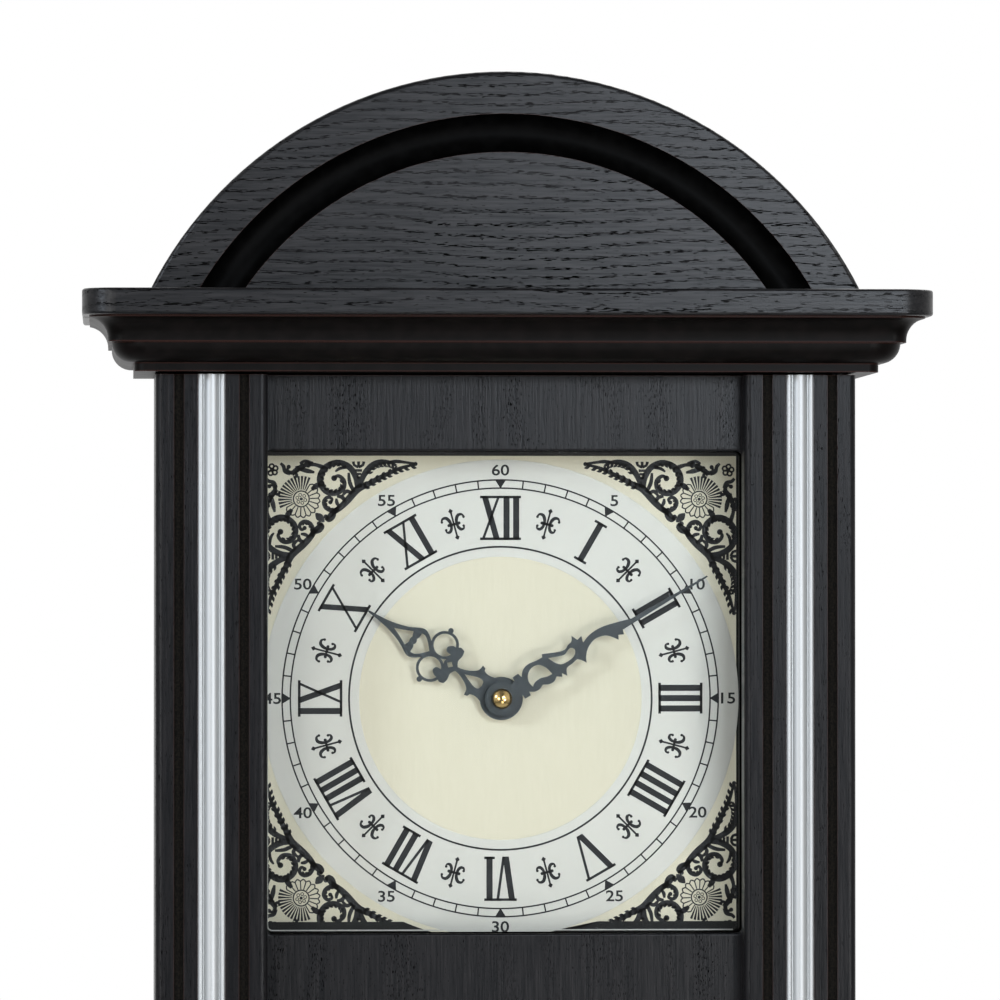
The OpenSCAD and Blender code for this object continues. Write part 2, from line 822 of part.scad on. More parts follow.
hour_windows = [
  [up([[0, 46.4], [1.2, 43.4], [2.9, 39.8]]), up([[2.9, 39.8], [1, 39.1]]),
   up([[1, 39.1], [0.6, 39.3], [0, 39.4]])],
  [up([[0, 36.8], [0.6, 36.9], [1.2, 37.3]]), up([[1.2, 37.3], [1.8, 36.9], [2.6, 36.8]]),
   up([[2.6, 36.8], [3.9, 36.8]]), up([[3.9, 36.8], [3.8, 35.2], [2.3, 33.2], [0, 31.1]])],
  [up([[0, 26.2], [0.4, 25.2], [1, 24.3]]), up([[1, 24.3], [0, 24.6]])],
  [up([[0, 23.5], [1.2, 22.2]]), up([[1.2, 22.2], [0, 20.9]])],
  [up([[0, 15.8], [1.2, 12.8], [1.9, 10.4], [1.5, 8.8], [0, 8.4]])]
];
ring_window = [
  up(arc(ring_at, ring_hole_r, -68, 245, 14)),
  up([[3.2, 23.9], [3.4, 25.8], [4.9, 26.4], [6.2, 25], [6.4, 23.8]])
];

module hour_hand() {
  color(hand_black) at_hub() rotate([0, hour_angle, 0]) plate(hour_hand_y, hand_t) {
    difference() {
      polygon(whole(outline(hour_half)));
      for (window = hour_windows) {
        polygon(whole(outline(window)));
      }
      for (s = [0, 1]) {
        mirror([s, 0]) polygon(outline(ring_window));
      }
      circle(pipe_seat_r + seat_gap);
    }
  }
}

module hand_cap_nut() {
  color(brass_gold) at_hub() difference() {
    translate([0, minute_hand_y, 0]) rotate([90, 0, 0]) rotate_extrude() intersection() {
      square([cap_r, cap_h]);
      union() {
        square([cap_r, cap_rim]);
        translate([0, cap_h - dome_r]) circle(dome_r);
      }
    }
    bar_y(arbor_tip_r + seat_gap, minute_hand_y - cap_h + cap_rim, minute_hand_y + eps);
  }
}

// Movement
module movement_nut() {
  color(brass_gold) at_hub() difference() {
    translate([0, dial_y - washer_t, 0]) rotate([90, 0, 0]) {
      cylinder(h = nut_t, r = nut_flat / sqrt(3), $fn = 6);
    }
    bar_y(bushing_r + seat_gap, dial_y - washer_t - nut_t - eps, dial_y);
  }
}

module movement_washer() {
  color(steel_grey) at_hub() difference() {
    bar_y(washer_r, dial_y - washer_t, dial_y);
    bar_y(bushing_r + seat_gap, dial_y - washer_t - eps, dial_y + eps);
  }
}

module movement_housing() {
  side = movement_w / 2;
  inside = side - movement_wall;
  floor_y = movement_y + movement_wall;
  color(plastic_black) at_hub() {
    difference() {
      union() {
        block([-side, movement_y, -side], [side, movement_back_y, side]);
        bar_y(bushing_r, bushing_end_y, movement_y + eps);
      }
      block([-inside, floor_y, room_foot], [inside, movement_back_y + eps, inside]);
      block([-inside, floor_y, -inside], [inside, movement_back_y + eps, bay_top]);
      bar_y(pipe_r + seat_gap, bushing_end_y - eps, floor_y + eps);
    }
    translate([0, 0, wheel_gap]) bar_y(stud_r, floor_y - movement_wall / 2, cover_y - free_gap);
    translate([knob_x, 0, knob_z]) difference() {
      bar_y(2 * pivot_r, floor_y - movement_wall / 2, floor_y + 2 * wheel_lift);
      bar_y(pivot_r + seat_gap, floor_y, floor_y + 2 * wheel_lift + eps);
    }
  }
}

module movement_cover() {
  inside = movement_w / 2 - movement_wall - seat_gap;
  color(plastic_black) at_hub() difference() {
    block([-inside, cover_y, room_foot + seat_gap], [inside, movement_back_y, inside]);
    bar_y(pivot_r + seat_gap, cover_y - eps, movement_back_y + eps);
    translate([knob_x, 0, knob_z]) {
      bar_y(pivot_r + seat_gap, cover_y - eps, movement_back_y + eps);
    }
  }
}

module circuit_board() {
  y = movement_y + movement_wall;
  color(board_green) at_hub() {
    block([board_left, y, 0], [board_left + pcb_w, y + pcb_t, pcb_h]);
  }
}

module stator_coil() {
  y = movement_y + movement_wall + pcb_t + coil_flange / 2;
  color(copper_red) at_hub() translate([board_left + pcb_w / 2, y, coil_z]) {
    cylinder(h = coil_h, r = coil_flange / 2 - coil_wall / 2);
    for (z = [0, coil_h - coil_wall]) {
      translate([-coil_flange / 2, -coil_flange / 2, z]) cube([coil_flange, coil_flange, coil_wall]);
    }
  }
}

module battery() {
  y = movement_y + movement_wall + battery_gap + battery_r;
  color(steel_grey) at_hub() translate([-battery_len / 2, y, battery_z]) rotate([0, 90, 0]) {
    cylinder(h = battery_len - battery_tip[0], r = battery_r);
    cylinder(h = battery_len, r = battery_tip[1]);
  }
}

module battery_contacts() {
  y = movement_y + movement_wall;
  inside = movement_w / 2 - movement_wall;
  x = battery_len / 2 + battery_gap;
  color(steel_grey) at_hub() both_sides() {
    block([x, y, battery_z - contact_w / 2], [x + contact_t, y + contact_h, battery_z + contact_w / 2]);
    block([x, y, battery_z - contact_foot_w / 2], [inside, y + contact_t, battery_z + contact_foot_w / 2]);
  }
}

module minute_arbor() {
  color(steel_grey) at_hub() {
    plate(pinion_y, pinion_t) gear(minute_teeth, tooth_module);
    bar_y(pivot_r, pinion_y + pinion_t, movement_back_y - free_gap);
    bar_y(arbor_r, minute_hand_y + hand_t, pinion_y);
    bar_y(arbor_seat_r, minute_hand_y, minute_hand_y + hand_t);
    bar_y(arbor_tip_r, minute_hand_y - cap_h + cap_rim + free_gap, minute_hand_y);
  }
}

module motion_wheel() {
  color(plastic_white) at_hub() translate([0, 0, wheel_gap]) difference() {
    union() {
      plate(pinion_y, pinion_t) gear(motion_teeth, tooth_module, 180 / motion_teeth);
      plate(hour_wheel_y, pinion_y - hour_wheel_y) {
        gear(motion_pinion_teeth, hour_module, 180 / motion_pinion_teeth);
      }
    }
    bar_y(stud_r + seat_gap, hour_wheel_y - eps, pinion_y + pinion_t + eps);
  }
}

module hour_wheel() {
  color(plastic_white) at_hub() difference() {
    union() {
      plate(hour_wheel_y, wheel_t) gear(hour_teeth, hour_module);
      bar_y(pipe_r, bushing_end_y - free_gap, hour_wheel_y);
      bar_y(pipe_seat_r, hour_hand_y - 0.2, bushing_end_y - free_gap);
    }
    bar_y(pipe_bore_r, hour_hand_y - eps, hour_wheel_y + wheel_t + eps);
  }
}

module setting_knob() {
  grips = 24;
  grip_r = 0.4;
  knob_t = 3;
  head_y = movement_back_y + free_gap;
  color(plastic_white) at_hub() translate([knob_x, 0, knob_z]) {
    bar_y(pivot_r, movement_y + movement_wall + 0.2, head_y);
    plate(pinion_y, pinion_t) gear(minute_teeth, tooth_module);
    difference() {
      bar_y(knob_r, head_y, head_y + knob_t);
      for (k = [0 : grips - 1]) {
        rotate([0, 360 * k / grips, 0]) translate([knob_r, 0, 0]) {
          bar_y(grip_r, head_y - eps, head_y + knob_t + eps);
        }
      }
    }
  }
}

// Pendulum
module pendulum_housing() {
  side = movement_w / 2;
  top = -side;
  foot = top - drive_h;
  color(plastic_black) at_hub() difference() {
    block([-side, movement_y, foot], [side, movement_back_y, top]);
    block([-side + 2 * drive_wall, movement_y + drive_wall, foot + drive_wall],
          [side - 2 * drive_wall, movement_back_y - drive_wall, top - drive_wall]);
    block([-slot_half, arm_y - drive_wall, foot - eps],
          [slot_half, arm_y + arm_t + drive_wall, foot + drive_wall + eps]);
    translate([0, 0, -pivot_drop]) {
      bar_y(pivot_r + seat_gap, movement_y + pivot_seat, movement_back_y + eps);
    }
  }
}

module at_pivot() {
  in_case() translate([0, 0, pivot_z]) children();
}

module pendulum_pivot() {
  color(steel_grey) at_pivot() bar_y(pivot_r, movement_y + pivot_seat + 0.2, movement_back_y - 0.2);
}

module pendulum_coil() {
  back = movement_back_y - drive_wall;
  color(copper_red) at_pivot() translate([0, 0, -magnet_drop]) difference() {
    bar_y(drive_coil_r, back - drive_coil_t, back);
    bar_y(drive_coil_bore, back - drive_coil_t - eps, back + eps);
  }
}

module pendulum_magnet() {
  color(steel_grey) at_pivot() translate([0, 0, -magnet_drop]) {
    bar_y(magnet_r, arm_y + (arm_t - magnet_t) / 2, arm_y + (arm_t + magnet_t) / 2);
  }
}

module pendulum_arm() {
  color(plastic_white) at_pivot() {
    plate(arm_y, arm_t) difference() {
      union() {
        circle(arm_eye_r);
        translate([-arm_w / 2, -peg_drop]) square([arm_w, peg_drop]);
        translate([0, -magnet_drop]) circle(magnet_r + magnet_rim);
        translate([0, -peg_drop]) circle(arm_w / 2);
      }
      circle(pivot_r + seat_gap);
      translate([0, -magnet_drop]) circle(magnet_r + seat_gap);
    }
    translate([0, 0, -peg_drop]) bar_y(peg_r, rod_y - peg_out, arm_y + eps);
  }
}

module pendulum_rod() {
  foot = pendulum_len + bob_r - rod_end_in;
  color(brass_gold) at_pivot() {
    plate(rod_y, rod_t) difference() {
      union() {
        translate([0, -peg_drop]) circle(peg_r + rod_eye_rim);
        translate([-rod_w / 2, -foot]) square([rod_w, foot - peg_drop - rod_eye_rim]);
      }
      translate([0, -peg_drop]) circle(peg_r + seat_gap);
    }
    translate([0, rod_y + rod_t / 2, -foot - rating_stud_h + 2 * eps]) {
      cylinder(h = rating_stud_h, r = rating_stud_r);
    }
  }
}

module bob_section() {
  intersection() {
    translate([0, bob_t / 2 - bob_rad]) circle(bob_rad, $fn = 180);
    translate([0, bob_rad - bob_t / 2]) circle(bob_rad, $fn = 180);
    translate([0, -bob_t / 2]) square([bob_r, bob_t]);
  }
}

module pendulum_bob() {
  color(brass_gold) in_case() translate([0, rod_y + rod_t / 2, bob_z]) difference() {
    rotate([90, 0, 0]) rotate_extrude() bob_section();
    block([-rod_w / 2 - rod_play, -rod_t / 2 - rod_play, -bob_r - eps],
          [rod_w / 2 + rod_play, rod_t / 2 + rod_play, bob_r + eps]);
    translate([0, 0, -bob_r - eps]) {
      cylinder(h = rod_end_in + 6 * eps, r = rating_stud_r + seat_gap);
    }
  }
}

module rating_nut() {
  color(brass_gold) in_case() translate([0, rod_y + rod_t / 2, bob_z - bob_r - rating_h]) {
    difference() {
      cylinder(h = rating_h, r = rating_r);
      translate([0, 0, -eps]) cylinder(h = rating_h + 2 * eps, r = rating_stud_r + seat_gap);
      for (k = [0 : rating_grips - 1]) {
        rotate([0, 0, 360 * k / rating_grips]) translate([rating_r, 0, -eps]) {
          cylinder(h = rating_h + 2 * eps, r = rating_grip_r);
        }
      }
    }
  }
}

// Door
module window_places() {
  translate([0, pendulum_window_z + pendulum_window_h / 2]) children(0);
  translate([0, dial_window_z + dial_window_h / 2]) children(1);
}

module strike_place() {
  translate([-inner_x + catch_w / 2, 0, door_foot_z + catch_z]) children();
}

// Cutter for a rounded edge: across the edge from the window outward, and down from the face
module edge_profile() {
  lap = window_r / 2;
  difference() {
    translate([-lap, -window_edge_r]) square(lap + window_edge_r);
    translate([window_edge_r, -window_edge_r]) circle(window_edge_r);
  }
}

// Cutters for the upper and lower front edges of a window, and round its corners
module window_edges(h) {
  rotate([90, 0, 0]) for (s = [0, 1]) {
    mirror([0, s, 0]) {
      rotate([0, 0, 90]) translate([h / 2, window_w / 2 - window_r, 0]) {
        rotate([90, 0, 0]) linear_extrude(window_w - 2 * window_r) edge_profile();
      }
      both_sides() translate([window_w / 2 - window_r, h / 2 - window_r, 0]) {
        rotate_extrude(angle = 90) translate([window_r, 0]) edge_profile();
      }
    }
  }
}

module door_panel() {
  color(black_oak) in_case() difference() {
    plate(panel_y, panel_t) difference() {
      translate([-body_w / 2, door_foot_z]) square([body_w, door_leaf_h]);
      window_places() {
        round_rect(window_w, pendulum_window_h, window_r);
        round_rect(window_w, dial_window_h, window_r);
      }
    }
    plate(glass_y, rabbet_d + eps) window_places() {
      square([window_w + 2 * rabbet_w, pendulum_window_h + 2 * rabbet_w], center = true);
      square([window_w + 2 * rabbet_w, dial_window_h + 2 * rabbet_w], center = true);
    }
    for (window = [[pendulum_window_z, pendulum_window_h], [dial_window_z, dial_window_h]]) {
      translate([0, panel_y, window[0] + window[1] / 2]) window_edges(window[1]);
    }
    hinge_ends() hinge_bed_door();
    strike_place() for (z = strike_screw_zs) {
      translate([0, door_back_y + strike_t, z]) mirror([0, 1, 0]) screw(screw_len, seat_gap);
    }
  }
}

// A pilaster in plan, its front at y = 0 and its middle at x = 0
module pilaster_section() {
  r = pilaster_edge_r;
  difference() {
    union() {
      translate([-pilaster_w / 2 + r, 0]) square([pilaster_w - 2 * r, pilaster_t]);
      translate([-pilaster_w / 2, r]) square([pilaster_w, pilaster_t - r]);
      for (s = [-1, 1]) {
        translate([s * (pilaster_w / 2 - r), r]) circle(r);
      }
    }
    for (s = [-1, 1]) {
      translate([s * flute_x - flute_w / 2, -eps]) square([flute_w, eps + flute_d - flute_w / 2]);
      translate([s * flute_x, flute_d - flute_w / 2]) circle(flute_w / 2);
    }
    translate([-trim_w / 2 - seat_gap, -eps]) square([trim_w + 2 * seat_gap, eps + trim_seat]);
  }
}

module trim_section() {
  translate([-trim_w / 2, 0]) square([trim_w, trim_seat]);
  intersection() {
    translate([0, bead_rad - bead_rise]) circle(bead_rad);
    translate([-bead_w / 2, -bead_rise]) square([bead_w, bead_rise + trim_seat]);
  }
  for (s = [-1, 1]) {
    translate([s * (trim_w - reed_w) / 2, reed_w / 2 - reed_rise]) circle(reed_w / 2);
    translate([s * (trim_w - reed_w) / 2 - reed_w / 2, reed_w / 2 - reed_rise]) {
      square([reed_w, reed_rise]);
    }
  }
}

module at_pilaster() {
  in_case() translate([body_w / 2 - pilaster_w / 2, -case_d, door_foot_z]) {
    linear_extrude(door_leaf_h) children();
  }
}

module pilaster_left() {
  color(black_oak) mirror([1, 0, 0]) at_pilaster() pilaster_section();
}

module pilaster_right() {
  color(black_oak) at_pilaster() pilaster_section();
}

module trim_strip_left() {
  color(silver) mirror([1, 0, 0]) at_pilaster() trim_section();
}

module trim_strip_right() {
  color(silver) at_pilaster() trim_section();
}

module glass_sheet(h) {
  square([window_w + 2 * (rabbet_w - glass_play), h + 2 * (rabbet_w - glass_play)], center = true);
}

module dial_glass() {
  color(glass_tint) in_case() plate(glass_y, glass_t) {
    translate([0, dial_window_z + dial_window_h / 2]) glass_sheet(dial_window_h);
  }
}

module pendulum_glass() {
  color(glass_tint) in_case() plate(glass_y, glass_t) {
    translate([0, pendulum_window_z + pendulum_window_h / 2]) glass_sheet(pendulum_window_h);
  }
}

// Four strips that hold a sheet of glass in its rabbet
module bead_frame(h) {
  w = window_w / 2 + rabbet_w - bead_gap;
  top = h / 2 + rabbet_w - bead_gap;
  strip = rabbet_w - 2 * bead_gap;
  for (s = [0, 1]) {
    mirror([s, 0]) translate([w - strip, -top]) square([strip, 2 * top]);
    mirror([0, s]) translate([-w + strip + bead_gap, top - strip]) square([2 * (w - strip - bead_gap), strip]);
  }
}

module glass_beads() {
  color(black_board) in_case() plate(glass_y + glass_t, rabbet_d - glass_t - bead_gap) {
    window_places() {
      bead_frame(pendulum_window_h);
      bead_frame(dial_window_h);
    }
  }
}

// Hinges: each end of the door turns on a pin that stands in the case's leaf.
// Heights count outward from the end of the door, and the axis is at x = y = 0.
module hinge_ends() {
  translate([hinge_x, hinge_y, door_foot_z + door_leaf_h]) children();
  translate([hinge_x, hinge_y, door_foot_z]) mirror([0, 0, 1]) children();
}

module leaf_block(low, high, extra = 0) {
  block([leaf_side - hinge_leaf_len - extra, -leaf_front - extra, low],
        [leaf_side + extra, leaf_w - leaf_front + extra, high]);
}

module leaf_screws_case(extra = 0) {
  for (x = leaf_screw_xs) {
    translate([x, leaf_screw_y, door_gap]) rotate([90, 0, 0]) screw(hinge_screw_len, extra);
  }
}

module leaf_screws_door(extra = 0) {
  for (x = leaf_screw_xs) {
    translate([x, leaf_screw_y, 0]) rotate([-90, 0, 0]) screw(hinge_screw_len, extra);
  }
}

module hinge_pin(extra = 0, room = 0) {
  translate([0, 0, -pin_in - room]) {
    cylinder(h = pin_in + door_gap + pin_rise + 2 * room, r = hinge_pin_r + extra);
  }
}

module hinge_bed_case() {
  leaf_block(door_gap - eps, door_gap + leaf_t, seat_gap);
  hinge_pin(seat_gap, free_gap);
  leaf_screws_case(seat_gap);
}

module hinge_bed_door() {
  leaf_block(-leaf_t, eps, seat_gap);
  hinge_pin(seat_gap, free_gap);
  leaf_screws_door(seat_gap);
}

module hinge_leaves_case() {
  color(steel_black) in_case() hinge_ends() difference() {
    union() {
      leaf_block(door_gap, door_gap + leaf_t);
      translate([0, 0, free_gap]) cylinder(h = door_gap, r = leaf_front);
    }
    hinge_pin(seat_gap);
    leaf_screws_case(seat_gap);
  }
}

module hinge_leaves_door() {
  color(steel_black) in_case() hinge_ends() difference() {
    leaf_block(-leaf_t, 0);
    hinge_pin(seat_gap);
    leaf_screws_door(seat_gap);
  }
}

module hinge_pins() {
  color(steel_grey) in_case() hinge_ends() hinge_pin();
}

module hinge_screws_case() {
  color(steel_black) in_case() hinge_ends() leaf_screws_case();
}

module hinge_screws_door() {
  color(steel_black) in_case() hinge_ends() leaf_screws_door();
}

// Catch on the free side of the door
module catch_body() {
  m = magnet_block;
  color(plastic_black) in_case() strike_place() difference() {
    block([-catch_w / 2, case_front_y, -catch_h / 2], [catch_w / 2, case_front_y + catch_d, catch_h / 2]);
    block([-m[0] / 2 - seat_gap, case_front_y - eps, -m[2] / 2 - seat_gap],
          [m[0] / 2 + seat_gap, case_front_y + m[1], m[2] / 2 + seat_gap]);
  }
}

module catch_magnet() {
  m = magnet_block;
  color(steel_grey) in_case() strike_place() {
    block([-m[0] / 2, door_back_y + strike_t + free_gap, -m[2] / 2],
          [m[0] / 2, case_front_y + m[1], m[2] / 2]);
  }
}

module strike_plate() {
  color(steel_grey) in_case() strike_place() difference() {
    block([-strike_w / 2, door_back_y, -strike_h / 2],
          [strike_w / 2, door_back_y + strike_t, strike_h / 2]);
    for (z = strike_screw_zs) {
      translate([0, door_back_y + strike_t, z]) mirror([0, 1, 0]) screw(screw_len, seat_gap);
    }
  }
}

module strike_screws() {
  color(steel_grey) in_case() strike_place() for (z = strike_screw_zs) {
    translate([0, door_back_y + strike_t, z]) mirror([0, 1, 0]) screw(screw_len);
  }
}

back_panel();
side_panel_left();
side_panel_right();
base_board();
base_cove();
base_ovolo();
cornice_ovolo();
cornice_cove();
top_board();
pediment();
pediment_dowels();
case_dowels();
dial_battens();
dial_board();
dial_board_screws();
dial_plate();
hanger_block();
hanger_plate();
hanger_screws();
catch_body();
catch_magnet();
hinge_leaves_case();
hinge_pins();
hinge_screws_case();
movement_housing();
movement_cover();
movement_washer();
movement_nut();
stator_coil();
circuit_board();
battery();
battery_contacts();
minute_arbor();
minute_hand();
hand_cap_nut();
motion_wheel();
hour_wheel();
hour_hand();
setting_knob();
pendulum_housing();
pendulum_coil();
pendulum_pivot();
pendulum_arm();
pendulum_magnet();
pendulum_rod();
pendulum_bob();
rating_nut();
door_panel();
pilaster_left();
pilaster_right();
trim_strip_left();
trim_strip_right();
dial_glass();
pendulum_glass();
glass_beads();
hinge_leaves_door();
hinge_screws_door();
strike_plate();
strike_screws();
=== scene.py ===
# %% [markdown]
# # A wall-hung pendulum clock
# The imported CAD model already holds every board, moulding, hand and wheel at its real size.
# This script dresses it: it lights it and looks at it from the same place as the picture,
# prints the dial, and gives each surface the finish that the real material has. Lengths are
# in metres in Blender; most sizes below are written in millimetres and multiplied by MM.

# %% Load the frame
import json
import math
import bmesh
import bpy
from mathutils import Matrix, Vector


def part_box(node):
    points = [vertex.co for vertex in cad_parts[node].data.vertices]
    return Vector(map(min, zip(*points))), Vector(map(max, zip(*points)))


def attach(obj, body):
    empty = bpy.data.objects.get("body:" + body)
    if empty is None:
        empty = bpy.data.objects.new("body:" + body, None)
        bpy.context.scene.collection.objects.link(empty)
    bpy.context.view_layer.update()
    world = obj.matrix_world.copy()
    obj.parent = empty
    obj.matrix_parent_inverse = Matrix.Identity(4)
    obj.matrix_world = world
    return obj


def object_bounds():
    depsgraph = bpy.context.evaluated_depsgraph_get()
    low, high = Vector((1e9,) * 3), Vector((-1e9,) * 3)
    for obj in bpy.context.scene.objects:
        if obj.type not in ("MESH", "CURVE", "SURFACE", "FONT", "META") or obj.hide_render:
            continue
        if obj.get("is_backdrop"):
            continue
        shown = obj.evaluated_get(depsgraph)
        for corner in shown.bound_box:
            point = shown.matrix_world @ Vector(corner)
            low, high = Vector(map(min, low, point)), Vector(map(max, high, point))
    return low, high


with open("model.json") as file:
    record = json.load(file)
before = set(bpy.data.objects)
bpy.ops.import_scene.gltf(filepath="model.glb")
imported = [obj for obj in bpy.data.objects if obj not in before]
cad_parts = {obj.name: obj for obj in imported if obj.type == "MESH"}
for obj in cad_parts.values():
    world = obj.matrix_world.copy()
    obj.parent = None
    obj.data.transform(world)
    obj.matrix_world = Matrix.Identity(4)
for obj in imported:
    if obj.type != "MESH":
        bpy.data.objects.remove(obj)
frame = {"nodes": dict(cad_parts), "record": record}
cad_low, cad_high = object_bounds()
nodes = frame["nodes"]
MM = 0.001
print("CAD box in mm:", [round(v / MM, 1) for v in cad_high - cad_low])

# %% [markdown]
# ## Colours and nodes
# Colours are written as they look on a screen, as hex values. Blender's sockets take linear
# light, so one function turns the one into the other. A material here is a small tree of
# nodes, and one function adds a node, sets what it is told and links what it is told.
# Sockets go by their name, or by number where a node has several of one name. In a Map
# Range, 1 and 2 are the range that comes in and 3 and 4 the range that goes out. In a Mix of
# values, 0 is the factor and 2 and 3 are mixed; in a Mix of colours, 6 and 7 are.

# %% Colours and nodes
def linear(hex_colour):
    """The linear red, green, blue and alpha of a colour such as '#e6e4d2'."""
    parts = [int(hex_colour[i:i + 2], 16) / 255 for i in (1, 3, 5)]
    return tuple(p / 12.92 if p < 0.04045 else ((p + 0.055) / 1.055) ** 2.4 for p in parts) + (1.0,)


def add(tree, kind, settings=None, links=None):
    """One shader node. A setting's key is a property's name, or a socket's name or number.
    Properties come first, since some of them change which sockets a node has."""
    node = tree.nodes.new("ShaderNode" + kind)
    for key, value in (settings or {}).items():
        if isinstance(key, str) and hasattr(node, key):
            setattr(node, key, value)
        else:
            node.inputs[key].default_value = value
    for key, source in (links or {}).items():
        tree.links.new(source, node.inputs[key])
    return node


def new_material(name):
    """An empty material, its tree and the place of a point on the object in metres."""
    material = bpy.data.materials.new(name)
    material.use_nodes = True
    tree = material.node_tree
    tree.nodes.clear()
    return material, tree, add(tree, "TexCoord").outputs["Object"]


def finish_material(tree, shader):
    """Links the last shader to the material's output."""
    add(tree, "OutputMaterial", links={"Surface": shader})


print("cream in linear light:", [round(v, 3) for v in linear("#e6e4d2")])

# %% [markdown]
# ## The camera
# The photographer stood a little to the left and level with the upper half of the dial, far
# away with a long lens, so that upright lines stay upright. A camera could be set by eye,
# but a few pixels of drift spoil every comparison. So its place was found by matching the
# edges of the boards, the pilasters and the dial window, whose sizes in the model are known.

# %% Camera
camera_place = Vector((-140.4, -2689.2, -45.4)) * MM
camera_yaw, camera_pitch = 3.041, 0.679  # degrees to the right, and up
film_width, focal_length = 36, 263  # millimetres
camera = bpy.data.objects.new("camera", bpy.data.cameras.new("camera"))
camera.location = camera_place
camera.rotation_euler = (math.radians(90 + camera_pitch), 0, math.radians(-camera_yaw))
camera.data.sensor_width = film_width
camera.data.lens = focal_length
bpy.context.scene.collection.objects.link(camera)
bpy.context.scene.camera = camera
print("camera distance in mm:", round(camera_place.length / MM))

# %% [markdown]
# ## The room
# A clock like this is photographed in a tent of white cloth. The cloth is bright on both
# sides and above, which fills the round metal strips with light. Straight ahead is the gap
# for the camera, which is dark, so the glass and the flat fronts mirror little. Below it is
# dark too, which is what leaves the hollows of the mouldings black. Behind the clock hangs
# the white backdrop. The tent could be modelled in cloth or taken from a panorama, but a few
# nodes in the world give the same light without noise, and each brightness is one number.
# The camera sees plain white round the clock, and the backdrop is as white through glass
# and in whatever mirrors it, such as metal or the ends of the boards.

# %% World
ahead_level, side_level, below_share, behind_level, seen_level = 0.1, 0.7, 0.12, 0.5, 1.0
world = bpy.data.worlds.new("tent")
bpy.context.scene.world = world
world.use_nodes = True
tree = world.node_tree
tree.nodes.clear()
direction = add(tree, "SeparateXYZ", links={0: add(tree, "TexCoord").outputs["Generated"]})
across = add(tree, "Math", {"operation": "ABSOLUTE"}, {0: direction.outputs["X"]})
# Each ramp runs over a part of the unit direction: sideways, up and to the back
cloth = add(tree, "MapRange", {"interpolation_type": "SMOOTHSTEP", 1: 0.15, 2: 0.6, 3: ahead_level,
                               4: side_level}, {0: across.outputs[0]})
rise = add(tree, "MapRange", {"interpolation_type": "SMOOTHSTEP", 1: -0.6, 2: 0.05, 3: below_share,
                              4: 1.0}, {0: direction.outputs["Z"]})
backdrop = add(tree, "MapRange", {"interpolation_type": "SMOOTHSTEP", 1: 0.1, 2: 0.6},
               {0: direction.outputs["Y"]})
tent = add(tree, "Math", {"operation": "MULTIPLY"}, {0: cloth.outputs[0], 1: rise.outputs[0]})
half_lit = add(tree, "Math", {"operation": "MULTIPLY", 1: behind_level}, {0: backdrop.outputs[0]})
level = add(tree, "Math", {"operation": "MAXIMUM"}, {0: tent.outputs[0], 1: half_lit.outputs[0]})
rays = add(tree, "LightPath")
passed_on = add(tree, "Math", {"operation": "MAXIMUM"},
                {0: rays.outputs["Is Glossy Ray"], 1: rays.outputs["Is Transmission Ray"]})
beyond = add(tree, "Math", {"operation": "MULTIPLY"},
             {0: passed_on.outputs[0], 1: backdrop.outputs[0]})
shown = add(tree, "Math", {"operation": "MAXIMUM"},
            {0: rays.outputs["Is Camera Ray"], 1: beyond.outputs[0]})
white = add(tree, "Mix", {3: seen_level}, {0: shown.outputs[0], 2: level.outputs[0]})
light = add(tree, "Background", {"Color": (1, 1, 1, 1)}, {"Strength": white.outputs[0]})
add(tree, "OutputWorld", links={"Surface": light.outputs[0]})
bpy.context.scene.view_settings.view_transform = "Standard"
print("world levels: ahead", ahead_level, "sides", side_level, "behind", behind_level,
      "seen", seen_level)

# %% [markdown]
# ## Lamps
# The sheen on the black wood is a soft lamp, mirrored by a satin surface. It hangs over the
# camera and to the right, so the sheen fades towards the foot and towards the left, as in
# the picture. It is slightly blue, so the sheen is cool. It stays clear of the patch that
# the dial's glass mirrors, and it also lights the dial right into the corners of its
# recess. A sun or a point lamp would mirror as a hard spot, so all lamps are areas. Three
# fill lamps even the dial out, one on the left gives the rounded corner of the top board
# its bright stripe, and the last one lights the back.

# %% Lamps
dial_front = (0, 0, -0.05)


def soft_lamp(name, place, wide, high, watts, colour="#ffffff"):
    """An area lamp, wide by high metres, that looks at the dial."""
    lamp = bpy.data.objects.new(name, bpy.data.lights.new(name, "AREA"))
    lamp.data.energy = watts
    lamp.data.shape = "RECTANGLE"
    lamp.data.size, lamp.data.size_y = wide, high
    lamp.data.color = linear(colour)[:3]
    lamp.location = place
    towards = Vector(dial_front) - lamp.location
    lamp.rotation_euler = towards.to_track_quat("-Z", "Y").to_euler()
    bpy.context.scene.collection.objects.link(lamp)


soft_lamp("sheen", (0.38, -1.5, 0.23), 0.42, 0.3, watts=7.2, colour="#ecf5ff")
soft_lamp("fill_left", (-0.75, -1.6, -0.1), 0.4, 0.4, watts=4.5)
soft_lamp("fill_right", (0.66, -1.5, -0.35), 0.3, 0.3, watts=4.5)
soft_lamp("fill_low", (0.15, -1.6, -0.95), 0.5, 0.5, watts=2.5)
soft_lamp("left", (-1.5, -1.3, 0.5), 0.35, 0.35, watts=11, colour="#e4f0ff")
soft_lamp("back", (0.6, 1.6, 1.2), 1.0, 1.0, watts=10)
print("lamps:", len(bpy.data.lights))

# %% [markdown]
# ## The floor
# The floor is a pale painted board under the clock, and it keeps the shadow. It could be a
# wide curved sheet, but that would light the mouldings from below. So it thins out away from
# the clock: no edge of it shows against the white, and the front mouldings mirror the dark
# below instead of a bright floor. It has no underside, so a camera that looks up from below
# still sees the whole clock.

